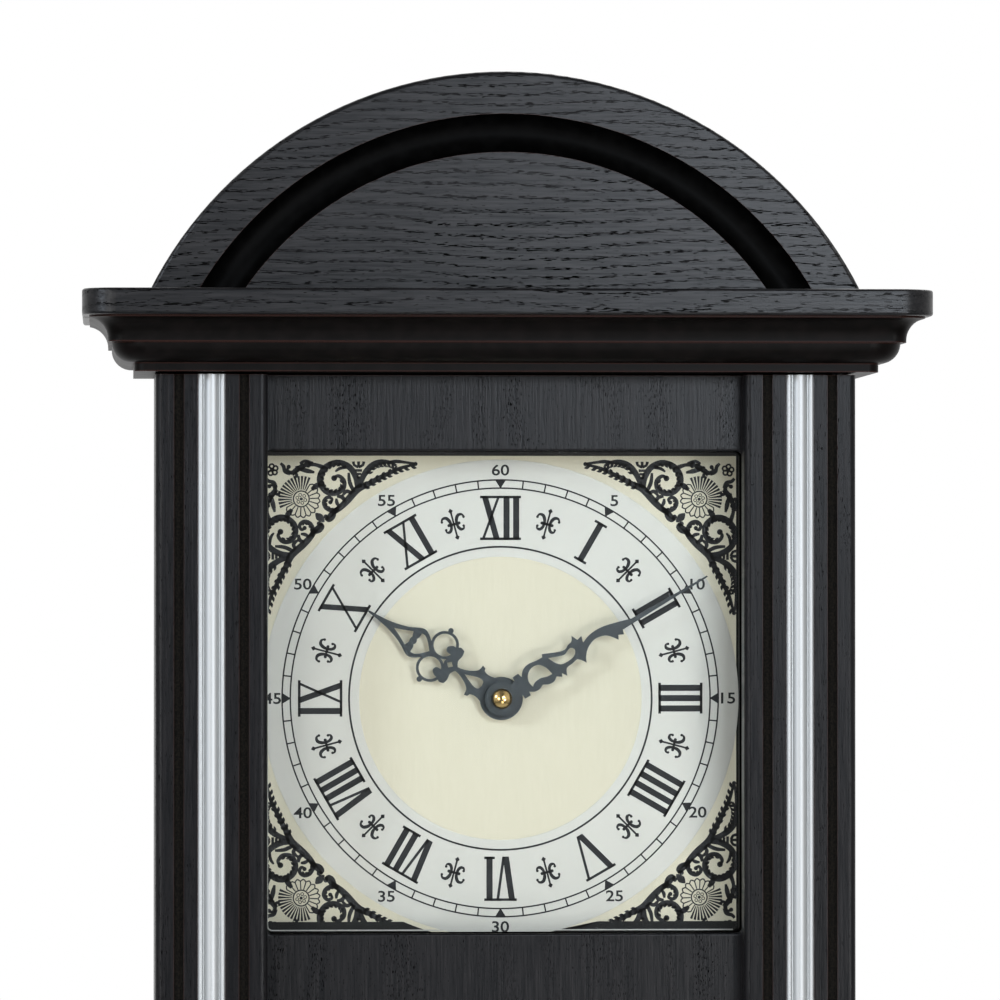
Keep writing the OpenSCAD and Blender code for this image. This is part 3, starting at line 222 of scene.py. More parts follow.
# %% Floor
floor_half, floor_gap = 1.2, 0.5 * MM  # half its side, and the gap that it keeps to the clock
fade_start, fade_end = 0.25, 0.7  # metres from the middle
speck_mm = 1.1
floor_z = cad_low.z - floor_gap
floor_mesh = bpy.data.meshes.new("floor")
corners = [(-1, -1), (1, -1), (1, 1), (-1, 1)]
floor_mesh.from_pydata([(x * floor_half, y * floor_half, floor_z) for x, y in corners],
                       [], [(0, 1, 2, 3)])
floor = bpy.data.objects.new("floor", floor_mesh)
bpy.context.scene.collection.objects.link(floor)
floor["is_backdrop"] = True

pale_floor, tree, place = new_material("pale_painted_board")
speck = add(tree, "TexNoise", {"Scale": 1 / (speck_mm * MM), "Detail": 2.0}, {"Vector": place})
tone = add(tree, "Mix", {"data_type": "RGBA", 6: linear("#e9e9e7"), 7: linear("#f1f1ef")},
           {0: speck.outputs["Fac"]})
paint = add(tree, "BsdfPrincipled", {"Roughness": 0.8}, {"Base Color": tone.outputs[2]})
flat = add(tree, "Mapping", {"Scale": (1, 1, 0)}, {"Vector": place})
away = add(tree, "VectorMath", {"operation": "LENGTH"}, {0: flat.outputs[0]})
thin = add(tree, "MapRange", {"interpolation_type": "SMOOTHSTEP", 1: fade_start, 2: fade_end},
           {0: away.outputs["Value"]})
from_below = add(tree, "NewGeometry").outputs["Backfacing"]
gone = add(tree, "Math", {"operation": "MAXIMUM"}, {0: thin.outputs[0], 1: from_below})
open_air = add(tree, "BsdfTransparent")
blend = add(tree, "MixShader", links={0: gone.outputs[0], 1: paint.outputs[0],
                                      2: open_air.outputs[0]})
finish_material(tree, blend.outputs[0])
floor_mesh.materials.append(pale_floor)
print("floor at z =", round(floor_z / MM, 1), "mm")

# %% [markdown]
# ## Sanded edges and painted highlight
# The edges of the boards were sanded before the stain, so they took less of it and show a
# thin line of red brown. The same line also stands in for the highlight that the edges
# catch, so it is partly a painted highlight. It could be painted by hand or cut as a bevel
# with a material of its own. The Bevel node does it for every edge at once, by comparing a
# rounded normal with the true one: where the two differ, an edge is near.

# %% Sanded edges and painted highlight
def sanded_edges(tree, colour, width_mm, amount):
    """The colour with red brown along sharp edges, width_mm wide, partly a painted highlight."""
    soft = add(tree, "Bevel", {"samples": 4, "Radius": width_mm * MM})
    true = add(tree, "NewGeometry")
    turn = add(tree, "VectorMath", {"operation": "DOT_PRODUCT"},
               {0: soft.outputs[0], 1: true.outputs["Normal"]})
    starts, full = 0.985, 0.8  # cosine of the angle between the two normals
    edge = add(tree, "MapRange", {1: starts, 2: full, 3: 0.0, 4: amount},
               {0: turn.outputs["Value"]})
    # Red brown along the edges: partly sanded wood, partly a painted highlight
    return add(tree, "Mix", {"data_type": "RGBA", 7: linear("#4a2a22")},
               {0: edge.outputs[0], 6: colour}).outputs[2]


oak_edge_mm, oak_edge_amount = 0.6, 0.5
print("sanded edges of the oak in mm:", oak_edge_mm)

# %% [markdown]
# ## Stained oak
# The case is oak veneer that was stained almost black and lacquered. Three things make it
# oak and not paint: long open pores that the lacquer did not fill, which are black and
# sunk; the way they crowd into the spring part of each year ring; and a cool sheen, because
# the lacquer mirrors the lamps. A picture of oak would repeat and blur, so the grain is made
# from noise. The rings are a slow noise added to the distance across the grain, which bends
# straight rows into the arches that a flat-sawn board shows. The pores are a fine noise
# stretched along the grain, of which only the peaks are kept, with more of them inside a
# ring, and the slow noise leaves them shallow in some places and deep in others. A coarser
# streaky noise makes the fibres between them take the stain and the lacquer unevenly.

# %% Oak
def stained_oak(name, along, ring_mm, sway, run_mm, pore_mm, row, crowd, level, gloss=0.34,
                uneven=0.25):
    """Black stained oak. along is the grain's axis; pores are run_mm long and pore_mm wide.
    They crowd into rows that are ring_mm apart, bend by sway rings and fill row of a ring,
    and crowd is by how much more. level is how much the lacquer mirrors, uneven the share
    by which that varies, and gloss its roughness."""
    material, tree, place = new_material(name)
    long_way = {"X": (1, 0, 0), "Z": (0, 0, 1)}[along]
    streak_mm, slow_mm = (22, 1.1), (90, 45)  # along and across the grain
    pore_starts, pore_full, shallowest = 0.65, 0.675, 0.5
    pore_rough, pore_mirror, pore_depth_mm = 0.75, 0.03, 0.12
    fine, streak, slow = [
        add(tree, "Mapping", {"Scale": [1 / ((run if a else wide) * MM) for a in long_way]},
            {"Vector": place})
        for run, wide in ((run_mm, pore_mm), streak_mm, slow_mm)]
    bend = add(tree, "TexNoise", {"Scale": 1.0, "Detail": 1.5}, {"Vector": slow.outputs[0]})
    swayed = add(tree, "Math", {"operation": "MULTIPLY", 1: sway}, {0: bend.outputs["Fac"]})
    split = add(tree, "SeparateXYZ", links={0: place})
    ring = add(tree, "Math", {"operation": "MULTIPLY_ADD", 1: 1 / (ring_mm * MM)},
               {0: split.outputs["Z" if along == "X" else "X"], 2: swayed.outputs[0]})
    phase = add(tree, "Math", {"operation": "PINGPONG", 1: 0.5}, {0: ring.outputs[0]})
    inside = add(tree, "MapRange", {1: row * 0.4, 2: row, 3: crowd, 4: -0.05},
                 {0: phase.outputs[0]})
    dash = add(tree, "TexNoise", {"Scale": 1.0, "Detail": 1.0, "Roughness": 0.4},
               {"Vector": fine.outputs[0]})
    near = add(tree, "Math", {"operation": "ADD"}, {0: dash.outputs["Fac"], 1: inside.outputs[0]})
    open_pores = add(tree, "MapRange", {1: pore_starts, 2: pore_full}, {0: near.outputs[0]})
    depth = add(tree, "MapRange", {1: 0.42, 2: 0.58, 3: shallowest, 4: 1.0},
                {0: bend.outputs["Fac"]})
    pores = add(tree, "Math", {"operation": "MULTIPLY"},
                {0: open_pores.outputs[0], 1: depth.outputs[0]})

    # The fibres between the pores: two near blacks, and a lacquer that varies with them
    figure = add(tree, "TexNoise", {"Scale": 1.0, "Detail": 3.0, "Roughness": 0.7},
                 {"Vector": streak.outputs[0]})
    contrast = add(tree, "MapRange", {1: 0.3, 2: 0.7}, {0: figure.outputs["Fac"]})
    stain = add(tree, "Mix", {"data_type": "RGBA", 6: linear("#0a0c0f"), 7: linear("#161416")},
                {0: contrast.outputs[0]})
    satin = add(tree, "MapRange", {3: gloss - 0.04, 4: gloss + 0.04}, {0: contrast.outputs[0]})
    lacquer = add(tree, "MapRange", {3: level * (1 - uneven), 4: level * (1 + uneven)},
                  {0: contrast.outputs[0]})

    # A pore is black, dull and sunk
    wood = add(tree, "Mix", {"data_type": "RGBA", 7: linear("#050505")},
               {0: pores.outputs[0], 6: stain.outputs[2]})
    rough = add(tree, "Mix", {3: pore_rough}, {0: pores.outputs[0], 2: satin.outputs[0]})
    mirror = add(tree, "Mix", {3: pore_mirror}, {0: pores.outputs[0], 2: lacquer.outputs[0]})
    height = add(tree, "Math", {"operation": "MULTIPLY_ADD", 1: -1.0},
                 {0: pores.outputs[0], 2: figure.outputs["Fac"]})
    sunk = add(tree, "Bump", {"Strength": 0.7, "Distance": pore_depth_mm * MM},
               {"Height": height.outputs[0]})
    # The oak's edges get the red-brown line, partly sanded and partly a painted highlight
    colour = sanded_edges(tree, wood.outputs[2], oak_edge_mm, oak_edge_amount)
    shader = add(tree, "BsdfPrincipled", links={
        "Base Color": colour, "Specular IOR Level": mirror.outputs[0],
        "Roughness": rough.outputs[0], "Normal": sunk.outputs[0]})
    finish_material(tree, shader.outputs[0])
    return material


oak_arch = stained_oak("stained_oak_pediment", "X", ring_mm=3.7, sway=4.0, run_mm=3.3,
                       pore_mm=0.35, row=0.24, crowd=0.13, level=0.36)
oak_board = stained_oak("stained_oak_board", "X", ring_mm=5.5, sway=4.0, run_mm=3.2,
                        pore_mm=0.34, row=0.2, crowd=0.09, level=0.33)
oak_panel = stained_oak("stained_oak_panel", "Z", ring_mm=22.0, sway=3.0, run_mm=1.6,
                        pore_mm=0.26, row=0.3, crowd=0.04, level=0.26, uneven=0.1)
oak_upright = stained_oak("stained_oak_upright", "Z", ring_mm=9.0, sway=3.0, run_mm=2.6,
                          pore_mm=0.26, row=0.25, crowd=0.0, level=0.18, uneven=0.12)
print("oak pores are drawn about 0.3 mm wide, a little over the real width, so that they show")

# %% [markdown]
# ## Routed black lacquer and bare fibre
# Where a cutter has run, in the arch's groove, the coves, the ovolos and the edges of the
# door's windows, the ground is dense fibreboard, sprayed black: no pores, a low gloss, and a
# faint unevenness from the sprayed coat. The flutes of the pilasters show the rough, hairy
# ground through the paint, and the back is hardboard. Each could have a tree of its own, but
# they differ only in colour, grit and gloss, so one function makes them all.

# %% Routed black
def sprayed_black(name, colour, light_colour, gloss, grit_mm, depth_mm, level, edge_mm=0.4):
    """Black paint on routed board. grit_mm is the size of the unevenness, depth_mm its depth,
    gloss its roughness and level how much it mirrors."""
    material, tree, place = new_material(name)
    grit = add(tree, "TexNoise", {"Scale": 1 / (grit_mm * MM), "Detail": 3.0}, {"Vector": place})
    patch = add(tree, "MapRange", {1: 0.42, 2: 0.62}, {0: grit.outputs["Fac"]})
    tone = add(tree, "Mix", {"data_type": "RGBA", 6: linear(colour), 7: linear(light_colour)},
               {0: patch.outputs[0]})
    rough = add(tree, "MapRange", {3: gloss, 4: gloss + 0.15}, {0: grit.outputs["Fac"]})
    uneven = add(tree, "Bump", {"Strength": 0.7, "Distance": depth_mm * MM},
                 {"Height": grit.outputs["Fac"]})
    # The black's edges get the red-brown line too, partly sanded and partly a painted highlight
    shader = add(tree, "BsdfPrincipled", {"Specular IOR Level": level},
                 {"Base Color": sanded_edges(tree, tone.outputs[2], edge_mm, 0.8),
                  "Roughness": rough.outputs[0], "Normal": uneven.outputs[0]})
    finish_material(tree, shader.outputs[0])
    return material


blacks_before = len(bpy.data.materials)
moulding_black = sprayed_black("sprayed_black_moulding", "#080605", "#0f0b0a", gloss=0.34,
                               grit_mm=6.0, depth_mm=0.02, level=0.08, edge_mm=0.9)
reveal_black = sprayed_black("sprayed_black_reveal", "#040404", "#080706", gloss=0.7,
                             grit_mm=1.5, depth_mm=0.03, level=0.0, edge_mm=0.3)
groove_black = sprayed_black("sprayed_black_groove", "#020202", "#050505", gloss=0.4,
                             grit_mm=5.0, depth_mm=0.02, level=0.04)
flute_black = sprayed_black("sprayed_black_raw_fibre", "#0a0907", "#1f1b16", gloss=0.75,
                            grit_mm=0.7, depth_mm=0.2, level=0.15)
hardboard_black = sprayed_black("black_hardboard", "#161514", "#211f1d", gloss=0.6,
                                grit_mm=1.2, depth_mm=0.06, level=0.4)
print("routed and sprayed blacks made:", len(bpy.data.materials) - blacks_before)

# %% [markdown]
# ## A recipe for the plain materials
# Beech, steel, plastics and ferrite each need the same few things: a colour that varies a
# little, a gloss that varies with it and a fine relief, at a size and in a direction that
# belong to how the surface was made. A tree for each would say the same thing ten times, so
# one recipe with those values covers them. Stretching the noise along one axis turns speckle
# into brushing, drawing lines or wood fibre.

# %% Plain materials
def plain(name, dark, bright, mark_mm, stretch=(1, 1, 1), rough=(0.3, 0.4), depth_mm=0.02,
          **shader_values):
    """A material from two near colours, mottled by marks of mark_mm that stretch draws out:
    a stretch of 0.1 along an axis makes them ten times as long that way."""
    material, tree, place = new_material(name)
    scale = [s / (mark_mm * MM) for s in stretch]
    spread = add(tree, "Mapping", {"Scale": scale}, {"Vector": place})
    mark = add(tree, "TexNoise", {"Scale": 1.0, "Detail": 3.0, "Roughness": 0.6},
               {"Vector": spread.outputs[0]})
    tone = add(tree, "Mix", {"data_type": "RGBA", 6: linear(dark), 7: linear(bright)},
               {0: mark.outputs["Fac"]})
    gloss = add(tree, "MapRange", {3: rough[0], 4: rough[1]}, {0: mark.outputs["Fac"]})
    relief = add(tree, "Bump", {"Strength": 0.5, "Distance": depth_mm * MM},
                 {"Height": mark.outputs["Fac"]})
    values = {key.replace("_", " "): value for key, value in shader_values.items()}
    shader = add(tree, "BsdfPrincipled", values,
                 {"Base Color": tone.outputs[2], "Roughness": gloss.outputs[0],
                  "Normal": relief.outputs[0]})
    finish_material(tree, shader.outputs[0])
    return material


plain_before = len(bpy.data.materials)
# Beech: pale, with short fine fibres along the peg, and no lacquer
beech = plain("bare_beech", "#c39a66", "#d9b688", 0.8, stretch=(1, 1, 0.08),
              rough=(0.55, 0.7), depth_mm=0.05)
# Anodised aluminium drawn through a die: fine lines run along the strip, satin and cool
anodised = plain("anodised_aluminium", "#b6b8b8", "#c2c4c4", 0.5, stretch=(1, 1, 0.004),
                 rough=(0.48, 0.54), depth_mm=0.001, Metallic=1.0)
# Brass, polished and clear lacquered: yellow, nearly a mirror, with faint turning marks
brass = plain("polished_brass", "#c9a763", "#e4c68a", 0.6, stretch=(0.05, 1, 1),
              rough=(0.10, 0.2), depth_mm=0.004, Metallic=1.0)
# Steel blackened in an oil bath: almost black, satin, slightly cloudy
black_steel = plain("blackened_steel", "#0e0f10", "#1a1b1d", 2.0, rough=(0.4, 0.52),
                    depth_mm=0.01)
# Zinc on steel: grey blue, slightly cloudy
zinc = plain("zinc_plated_steel", "#8b8f93", "#a9acae", 2.5, rough=(0.28, 0.42),
             depth_mm=0.01, Metallic=1.0)
# ABS from a spark-eroded mould: an even fine grit that kills the shine
abs_black = plain("moulded_black_abs", "#131416", "#1f2022", 0.5, rough=(0.5, 0.62),
                  depth_mm=0.05)
# Acetal: white and waxy, so it is never quite bright
acetal = plain("white_acetal", "#d9d9d3", "#e8e8e3", 3.0, rough=(0.35, 0.45), depth_mm=0.01)
# Solder mask over copper tracks: green, glossy, faintly ribbed by the tracks
solder_mask = plain("green_solder_mask", "#124a28", "#2a6c40", 1.6, stretch=(1, 1, 0.2),
                    rough=(0.25, 0.35), depth_mm=0.03)
# Ferrite is pressed and sintered powder: dark grey, dull, grainy
ferrite = plain("sintered_ferrite", "#2c2c2e", "#3c3c3f", 0.6, rough=(0.6, 0.75),
                depth_mm=0.04)
# The cell's shrunk plastic jacket: smooth and glossy
jacket = plain("battery_jacket", "#1b1c20", "#26272c", 8.0, stretch=(0.1, 1, 1),
               rough=(0.18, 0.26), depth_mm=0.01)
print("plain materials made:", len(bpy.data.materials) - plain_before)

# %% [markdown]
# ## Enamelled hands, wound copper and glass
# The hands are steel, stamped and enamelled a blue black with a satin surface, and the plain
# recipe does for them. The coils are copper wire in even layers. Modelled turns would take
# thousands of faces inside a closed housing, so bands of relief run round them instead, and
# bands of dark and bright copper paint the shade between the turns and the highlight on each.
# The glass is float glass, clear and very smooth. Light has to reach the dial through it, and
# a renderer that bends every ray leaves the dial noisy, so the rays that carry light and
# shadow pass straight through, and only what the eye sees is bent.

# %% Hands, copper and glass
hand_enamel = plain("satin_black_enamel", "#121d20", "#192629", 1.5, rough=(0.38, 0.46),
                    depth_mm=0.01, Specular_IOR_Level=0.4)

wire_mm = 0.5  # real coil wire is about a tenth of that; drawn coarser, so that it shows
wave_period = 0.31  # metres from band to band in a Wave texture of scale 1
copper, tree, place = new_material("wound_copper_wire")
turns = add(tree, "TexWave", {"bands_direction": "Z", "Distortion": 0.4,
                              "Scale": wave_period / (wire_mm * MM)}, {"Vector": place})
# Dark and bright copper along the wave: painted shade between the turns, painted highlight on them
wire = add(tree, "Mix", {"data_type": "RGBA", 6: linear("#6a2f14"), 7: linear("#c06a38")},
           {0: turns.outputs["Fac"]})
ridge = add(tree, "Bump", {"Strength": 0.8, "Distance": 0.2 * MM}, {"Height": turns.outputs["Fac"]})
shader = add(tree, "BsdfPrincipled", {"Metallic": 1.0, "Roughness": 0.32},
             {"Base Color": wire.outputs[2], "Normal": ridge.outputs[0]})
finish_material(tree, shader.outputs[0])

glass, tree, place = new_material("clear_float_glass")
waver_mm = 83  # the tint of drawn-out glass wavers slowly
waver = add(tree, "TexNoise", {"Scale": 1 / (waver_mm * MM), "Detail": 1.0}, {"Vector": place})
tint = add(tree, "Mix", {"data_type": "RGBA", 6: linear("#fdfefe"), 7: linear("#ffffff")},
           {0: waver.outputs["Fac"]})
body = add(tree, "BsdfPrincipled", {"Roughness": 0.0, "IOR": 1.5, "Transmission Weight": 1.0},
           {"Base Color": tint.outputs[2]})
straight = add(tree, "BsdfTransparent", links={"Color": tint.outputs[2]})
rays = add(tree, "LightPath")
unseen = add(tree, "Math", {"operation": "MAXIMUM"},
             {0: rays.outputs["Is Shadow Ray"], 1: rays.outputs["Is Diffuse Ray"]})
pane = add(tree, "MixShader", links={0: unseen.outputs[0], 1: body.outputs[0],
                                     2: straight.outputs[0]})
finish_material(tree, pane.outputs[0])
glass_low, glass_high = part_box("dial_glass")
print("glass thickness in mm:", round((glass_high - glass_low).y / MM, 2))

# %% [markdown]
# ## Materials of the dial
# The dial is a sheet of aluminium, brushed upright and printed. Cream lacquer covers most of
# it, a ring was left silver grey, the lines and the scrollwork are one satin ink, and the
# border is a deeper black. A plain colour would look like paper, so each is made by the
# recipe, and the brushing still shows through the thin lacquer as a faint upright grain.

# %% Dial materials
dial_cream = plain("cream_dial_lacquer", "#ded8bc", "#e7e1c7", 0.9, stretch=(1, 1, 0.12),
                   rough=(0.42, 0.5), depth_mm=0.006)
dial_silver = plain("silver_dial_lacquer", "#bdbcb2", "#c9c8be", 0.6, stretch=(1, 1, 0.8),
                    rough=(0.42, 0.5), depth_mm=0.006, Metallic=0.2)
dial_ink = plain("black_dial_ink", "#090b0c", "#101315", 1.2, rough=(0.5, 0.6),
                 depth_mm=0.006, Specular_IOR_Level=0.25)
dial_black = plain("black_dial_border", "#030404", "#101311", 1.0, rough=(0.4, 0.5),
                   depth_mm=0.01, Specular_IOR_Level=0.2)
print("materials made so far:", len(bpy.data.materials))

# %% [markdown]
# ## Giving each CAD piece its material
# The record says which finish each node has, so most nodes get theirs from a table of
# finishes, which is shorter and safer than a line for each of them. Mouldings and boards
# differ in how their grain runs, and are named here.

# %% Assign materials
finishes = {
    "black_oak": oak_upright, "black_board": hardboard_black, "pale_wood": beech,
    "silver_trim": anodised, "clear_glass": glass, "dial_print": dial_cream,
    "hand_enamel": hand_enamel, "polished_brass": brass, "zinc_steel": zinc,
    "black_steel": black_steel, "black_plastic": abs_black, "white_plastic": acetal,
    "copper_wire": copper, "circuit_board": solder_mask, "battery_jacket": jacket,
    "magnet_ferrite": ferrite,
}
special = {
    "pediment": oak_arch, "top_board": oak_board, "base_board": oak_board, "door_panel": oak_panel,
    "cornice_cove": moulding_black, "cornice_ovolo": moulding_black,
    "base_cove": moulding_black, "base_ovolo": moulding_black,
}
for part in frame["record"]["subparts"]:
    name = part["node"]
    mesh = nodes[name].data
    mesh.materials.clear()
    mesh.materials.append(special.get(name, finishes[part["material_slot"]]))

# %% [markdown]
# ### Cut faces
# The groove of the arch, the edges of the door's windows and the flutes of the pilasters
# were cut after the veneer was laid, so they have a black of their own. They belong to one
# CAD piece each, and cutting that in two would leave seams. So their faces are picked by
# where they lie: behind the front of the piece and away from its rim.

# %% Cut faces
behind_front = 0.02  # mm, so that the front faces themselves are left out
groove_depth, flute_depth = 8, 4  # mm, a little more than the cuts are deep
arch_rim, panel_rim, pilaster_rim = 8, 2, 4  # mm along the rim that no cut reaches


def repaint(name, material, chosen):
    """Gives material to the faces of a CAD node whose centre and normal satisfy chosen."""
    mesh = nodes[name].data
    mesh.materials.append(material)
    count = 0
    for face in mesh.polygons:
        if chosen(face.center / MM, face.normal):
            face.material_index = 1
            count += 1
    print(name, "faces repainted:", count)


def box_mm(name):
    """The low and the high corner of a node in millimetres."""
    return [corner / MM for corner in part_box(name)]


arch_low, arch_high = box_mm("pediment")
arch_rise = arch_high.z - arch_low.z
arch_radius = (arch_high.x ** 2 + arch_rise ** 2) / (2 * arch_rise)
arch_centre = arch_high.z - arch_radius
panel_low, panel_high = box_mm("door_panel")


def in_groove(centre, normal):
    """Whether a face of the arch lies in its groove."""
    radius = math.hypot(centre.x, centre.z - arch_centre)
    sunk = arch_low.y + behind_front < centre.y < arch_low.y + groove_depth
    return sunk and radius < arch_radius - arch_rim and normal.y < 0.2


def in_window(centre, normal):
    """Whether a face of the door's panel lies on the edge of a window."""
    inside = (panel_low.x + panel_rim < centre.x < panel_high.x - panel_rim
              and panel_low.z + panel_rim < centre.z < panel_high.z - panel_rim)
    return inside and centre.y > panel_low.y + behind_front and abs(normal.y) < 0.3


repaint("pediment", groove_black, in_groove)
repaint("door_panel", reveal_black, in_window)
for side in ("pilaster_left", "pilaster_right"):
    low, high = box_mm(side)

    def in_flute(centre, normal, low=low, high=high):
        """Whether a face of the pilaster lies in a flute or in the strip's groove."""
        inside = low.x + pilaster_rim < centre.x < high.x - pilaster_rim
        sunk = low.y + behind_front < centre.y < low.y + flute_depth
        return inside and sunk and abs(normal.z) < 0.5

    repaint(side, flute_black, in_flute)

# %% [markdown]
# ## The dial's print
# On the real dial the marks are screen printed, one colour after the other. They could be
# one picture on the plate, but a picture is soft in a close view and has to be made outside
# Blender. So the marks are thin sheets that lie on the plate one above the other, a few
# hundredths of a millimetre apart: corner scrollwork, black border, a painted highlight along
# the window's edge, silver ring, and then the lines and numerals. Each mark is a list of flat
# polygons in millimetres from the hands' axis, x to the right and z up.

# %% Flat print
dial_low, dial_high = box_mm("dial_plate")
hub_low, hub_high = box_mm("hand_cap_nut")
hub = (hub_low + hub_high) / 2
PRINT_STEP = 0.03  # mm from one layer to the next
PRINT_SCALE = 0.99  # the artwork is one percent larger than the plate, and is reduced to fit
# The third layer carries a painted highlight along the window's edge, not print
layers = {"scrollwork": 1, "border": 2, "window_highlight": 3, "ring": 4, "lines": 6}


def print_flat(name, shapes, layer, material):
    """A sheet of polygons on the dial. Each is a list of (x, z) in mm from the hands' axis."""
    mesh = bmesh.new()
    y = dial_low.y - layers[layer] * PRINT_STEP
    for shape in shapes:
        area = sum(a[0] * b[1] - b[0] * a[1] for a, b in zip(shape, shape[1:] + shape[:1]))
        ordered = shape if area > 0 else shape[::-1]  # so that every face looks to the front
        places = [Vector((hub.x + x * PRINT_SCALE, y, hub.z + z * PRINT_SCALE)) for x, z in ordered]
        mesh.faces.new([mesh.verts.new(place * MM) for place in places])
    bmesh.ops.triangulate(mesh, faces=mesh.faces, ngon_method="EAR_CLIP")
    data = bpy.data.meshes.new(name)
    mesh.to_mesh(data)
    mesh.free()
    data.materials.append(material)
    piece = bpy.data.objects.new(name, data)
    bpy.context.scene.collection.objects.link(piece)
    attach(piece, "case")
    print(name, "has", len(data.polygons), "faces")


def polar(radius, degrees):
    """A point at radius and degrees clockwise from twelve."""
    turn = math.radians(degrees)
    return radius * math.sin(turn), radius * math.cos(turn)


def band(inner, outer, start=0, end=360, step=2):
    """A ring, or a part of one, as a row of four-sided shapes."""
    count = max(1, round((end - start) / step))
    stops = [start + (end - start) * k / count for k in range(count + 1)]
    return [[polar(outer, a), polar(outer, b), polar(inner, b), polar(inner, a)]
            for a, b in zip(stops, stops[1:])]


ring_outer, ring_inner = 87.2, 51.7
print_flat("dial_silver_ring", band(ring_inner, ring_outer, step=1.5), "ring", dial_silver)

# %% [markdown]
# ### Minute track
# Two thin circles with a bar at each minute make the track, and a triangle points inward at
# each five minutes. A third circle closes the numerals from inside. Curves with a bevel
# could draw them, but narrow bands of flat faces lie true on the plate and stay light.

# %% Minute track
track_outer, track_inner, line_w = 79.8, 76.8, 0.56
tick_w, point_w, point_reach = 0.54, 4.0, 0.2
inner_circle = 55.0, 55.7
track = band(track_outer - line_w / 2, track_outer + line_w / 2)
track += band(track_inner - line_w / 2, track_inner + line_w / 2)
track += band(*inner_circle)
for minute in range(60):
    turn = minute * 6
    if minute % 5:
        spread = math.degrees(tick_w / 2 / track_outer)
        track += band(track_inner, track_outer, turn - spread, turn + spread, 1)
    else:
        spread = math.degrees(point_w / 2 / track_outer)
        track.append([polar(track_outer, turn - spread), polar(track_outer, turn + spread),
                      polar(track_inner - point_reach, turn)])
print_flat("dial_minute_track", track, "lines", dial_ink)

# %% [markdown]
# ### Roman numerals
# Each numeral stands with its feet to the centre. Few fonts have the long shared bars of a
# clock face, so the numerals are built from strokes: a heavy stem, a hair stroke, and one
# bar along the top and the foot. An X or a V that stands alone is wider than one with
# neighbours, so the numeral is given its whole width and shares it out. Four is written
# IIII, as on most clock dials.

# %% Numerals
numeral_top, numeral_foot = 74.0, 57.8
numeral_h = numeral_top - numeral_foot
stem_w, hair_w, bar_h = 2.25, 1.0, 0.95
stem_inset, hair_inset, foot_shift = 0.75 * stem_w, 0.45 * stem_w, 0.35 * stem_w
letter_w = {"I": 3.7, "V": 7.7, "X": 8.3}
numeral_w = {"I": 5.0, "II": 8.2, "III": 11.3, "IIII": 15.2, "V": 12.3, "VI": 11.9, "VII": 15.0,
             "VIII": 17.6, "IX": 13.3, "X": 11.3, "XI": 13.6, "XII": 15.0}


def stroke(x_foot, x_top, width):
    """A slanting stroke with level ends, from the foot to the top of a numeral."""
    half = width / 2
    return [(x_foot - half, 0), (x_foot + half, 0),
            (x_top + half, numeral_h), (x_top - half, numeral_h)]


def bar(x0, x1, z):
    """A level bar from x0 to x1 that stands on z."""
    return [(x0, z), (x1, z), (x1, z + bar_h), (x0, z + bar_h)]


def numeral_shapes(text):
    """The strokes of one numeral, with its middle at x = 0 and its foot at z = 0."""
    total = numeral_w[text]
    share = total / sum(letter_w[letter] for letter in text)
    shapes, x = [bar(-total / 2, total / 2, numeral_h - bar_h)], -total / 2
    for letter in text:
        width = letter_w[letter] * share
        left, middle, right = x + stem_inset, x + width / 2, x + width - hair_inset
        if letter == "I":
            shapes += [stroke(middle, middle, stem_w)]
        elif letter == "X":
            shapes += [stroke(x + width - stem_inset, left, stem_w),
                       stroke(x + hair_inset, right, hair_w)]
        else:
            shapes += [stroke(middle, left, stem_w), stroke(middle + foot_shift, right, hair_w)]
        if letter != "V":
            shapes.append(bar(x, x + width, 0))
        x += width
    return shapes


def turned(shapes, degrees, rise):
    """Shapes drawn upright at twelve, moved out by rise and turned clockwise."""
    turn = math.radians(degrees)
    sine, cosine = math.sin(turn), math.cos(turn)
    return [[(x * cosine + (z + rise) * sine, (z + rise) * cosine - x * sine) for x, z in shape]
            for shape in shapes]


numerals = []
for hour, text in enumerate(numeral_w, start=1):
    numerals += turned(numeral_shapes(text), 30 * hour, numeral_foot)
print_flat("dial_numerals", numerals, "lines", dial_ink)

# %% [markdown]
# ### Curved ornament
# A printed flourish swells and thins like the mark of a pen. Tracing its two edges would
# take twice the points and never run smoothly. So a few points with a width each are joined
# by a smooth curve, and the curve becomes a row of four-sided shapes. The same tool draws
# the small lilies between the numerals and the scrollwork in the corners.

# %% Flourishes
def smooth(points, steps=6):
    """A smooth curve through points, each with any number of values (Catmull-Rom)."""
    out = []
    for i in range(len(points) - 1):
        a, b = points[max(i - 1, 0)], points[i]
        c, d = points[i + 1], points[min(i + 2, len(points) - 1)]
        for k in range(steps):
            t = k / steps
            out.append(tuple(
                q + (r - p) * t / 2 + (2 * p - 5 * q + 4 * r - s) * t * t / 2
                + (3 * q - p - 3 * r + s) * t ** 3 / 2 for p, q, r, s in zip(a, b, c, d)))
    return out + [tuple(points[-1])]


def ribbon(points, steps=6):
    """A pen stroke through (x, z, width) points."""
    path = smooth(points, steps)
    edges = []
    for i, (x, z, width) in enumerate(path):
        ahead, behind = path[min(i + 1, len(path) - 1)], path[max(i - 1, 0)]
        run = math.hypot(ahead[0] - behind[0], ahead[1] - behind[1]) or 1
        side = ((behind[1] - ahead[1]) / run, (ahead[0] - behind[0]) / run)
        edges.append(((x + side[0] * width / 2, z + side[1] * width / 2),
                      (x - side[0] * width / 2, z - side[1] * width / 2)))
    return [[a[0], b[0], b[1], a[1]] for a, b in zip(edges, edges[1:])]


def dot(x, z, radius, sides=10):
    """A round spot of ink."""
    turns = [2 * math.pi * k / sides for k in range(sides)]
    return [[(x + radius * math.cos(turn), z + radius * math.sin(turn)) for turn in turns]]


def mirrored(shapes):
    """Shapes and their mirror image left to right."""
    return shapes + [[(-x, z) for x, z in shape] for shape in shapes]


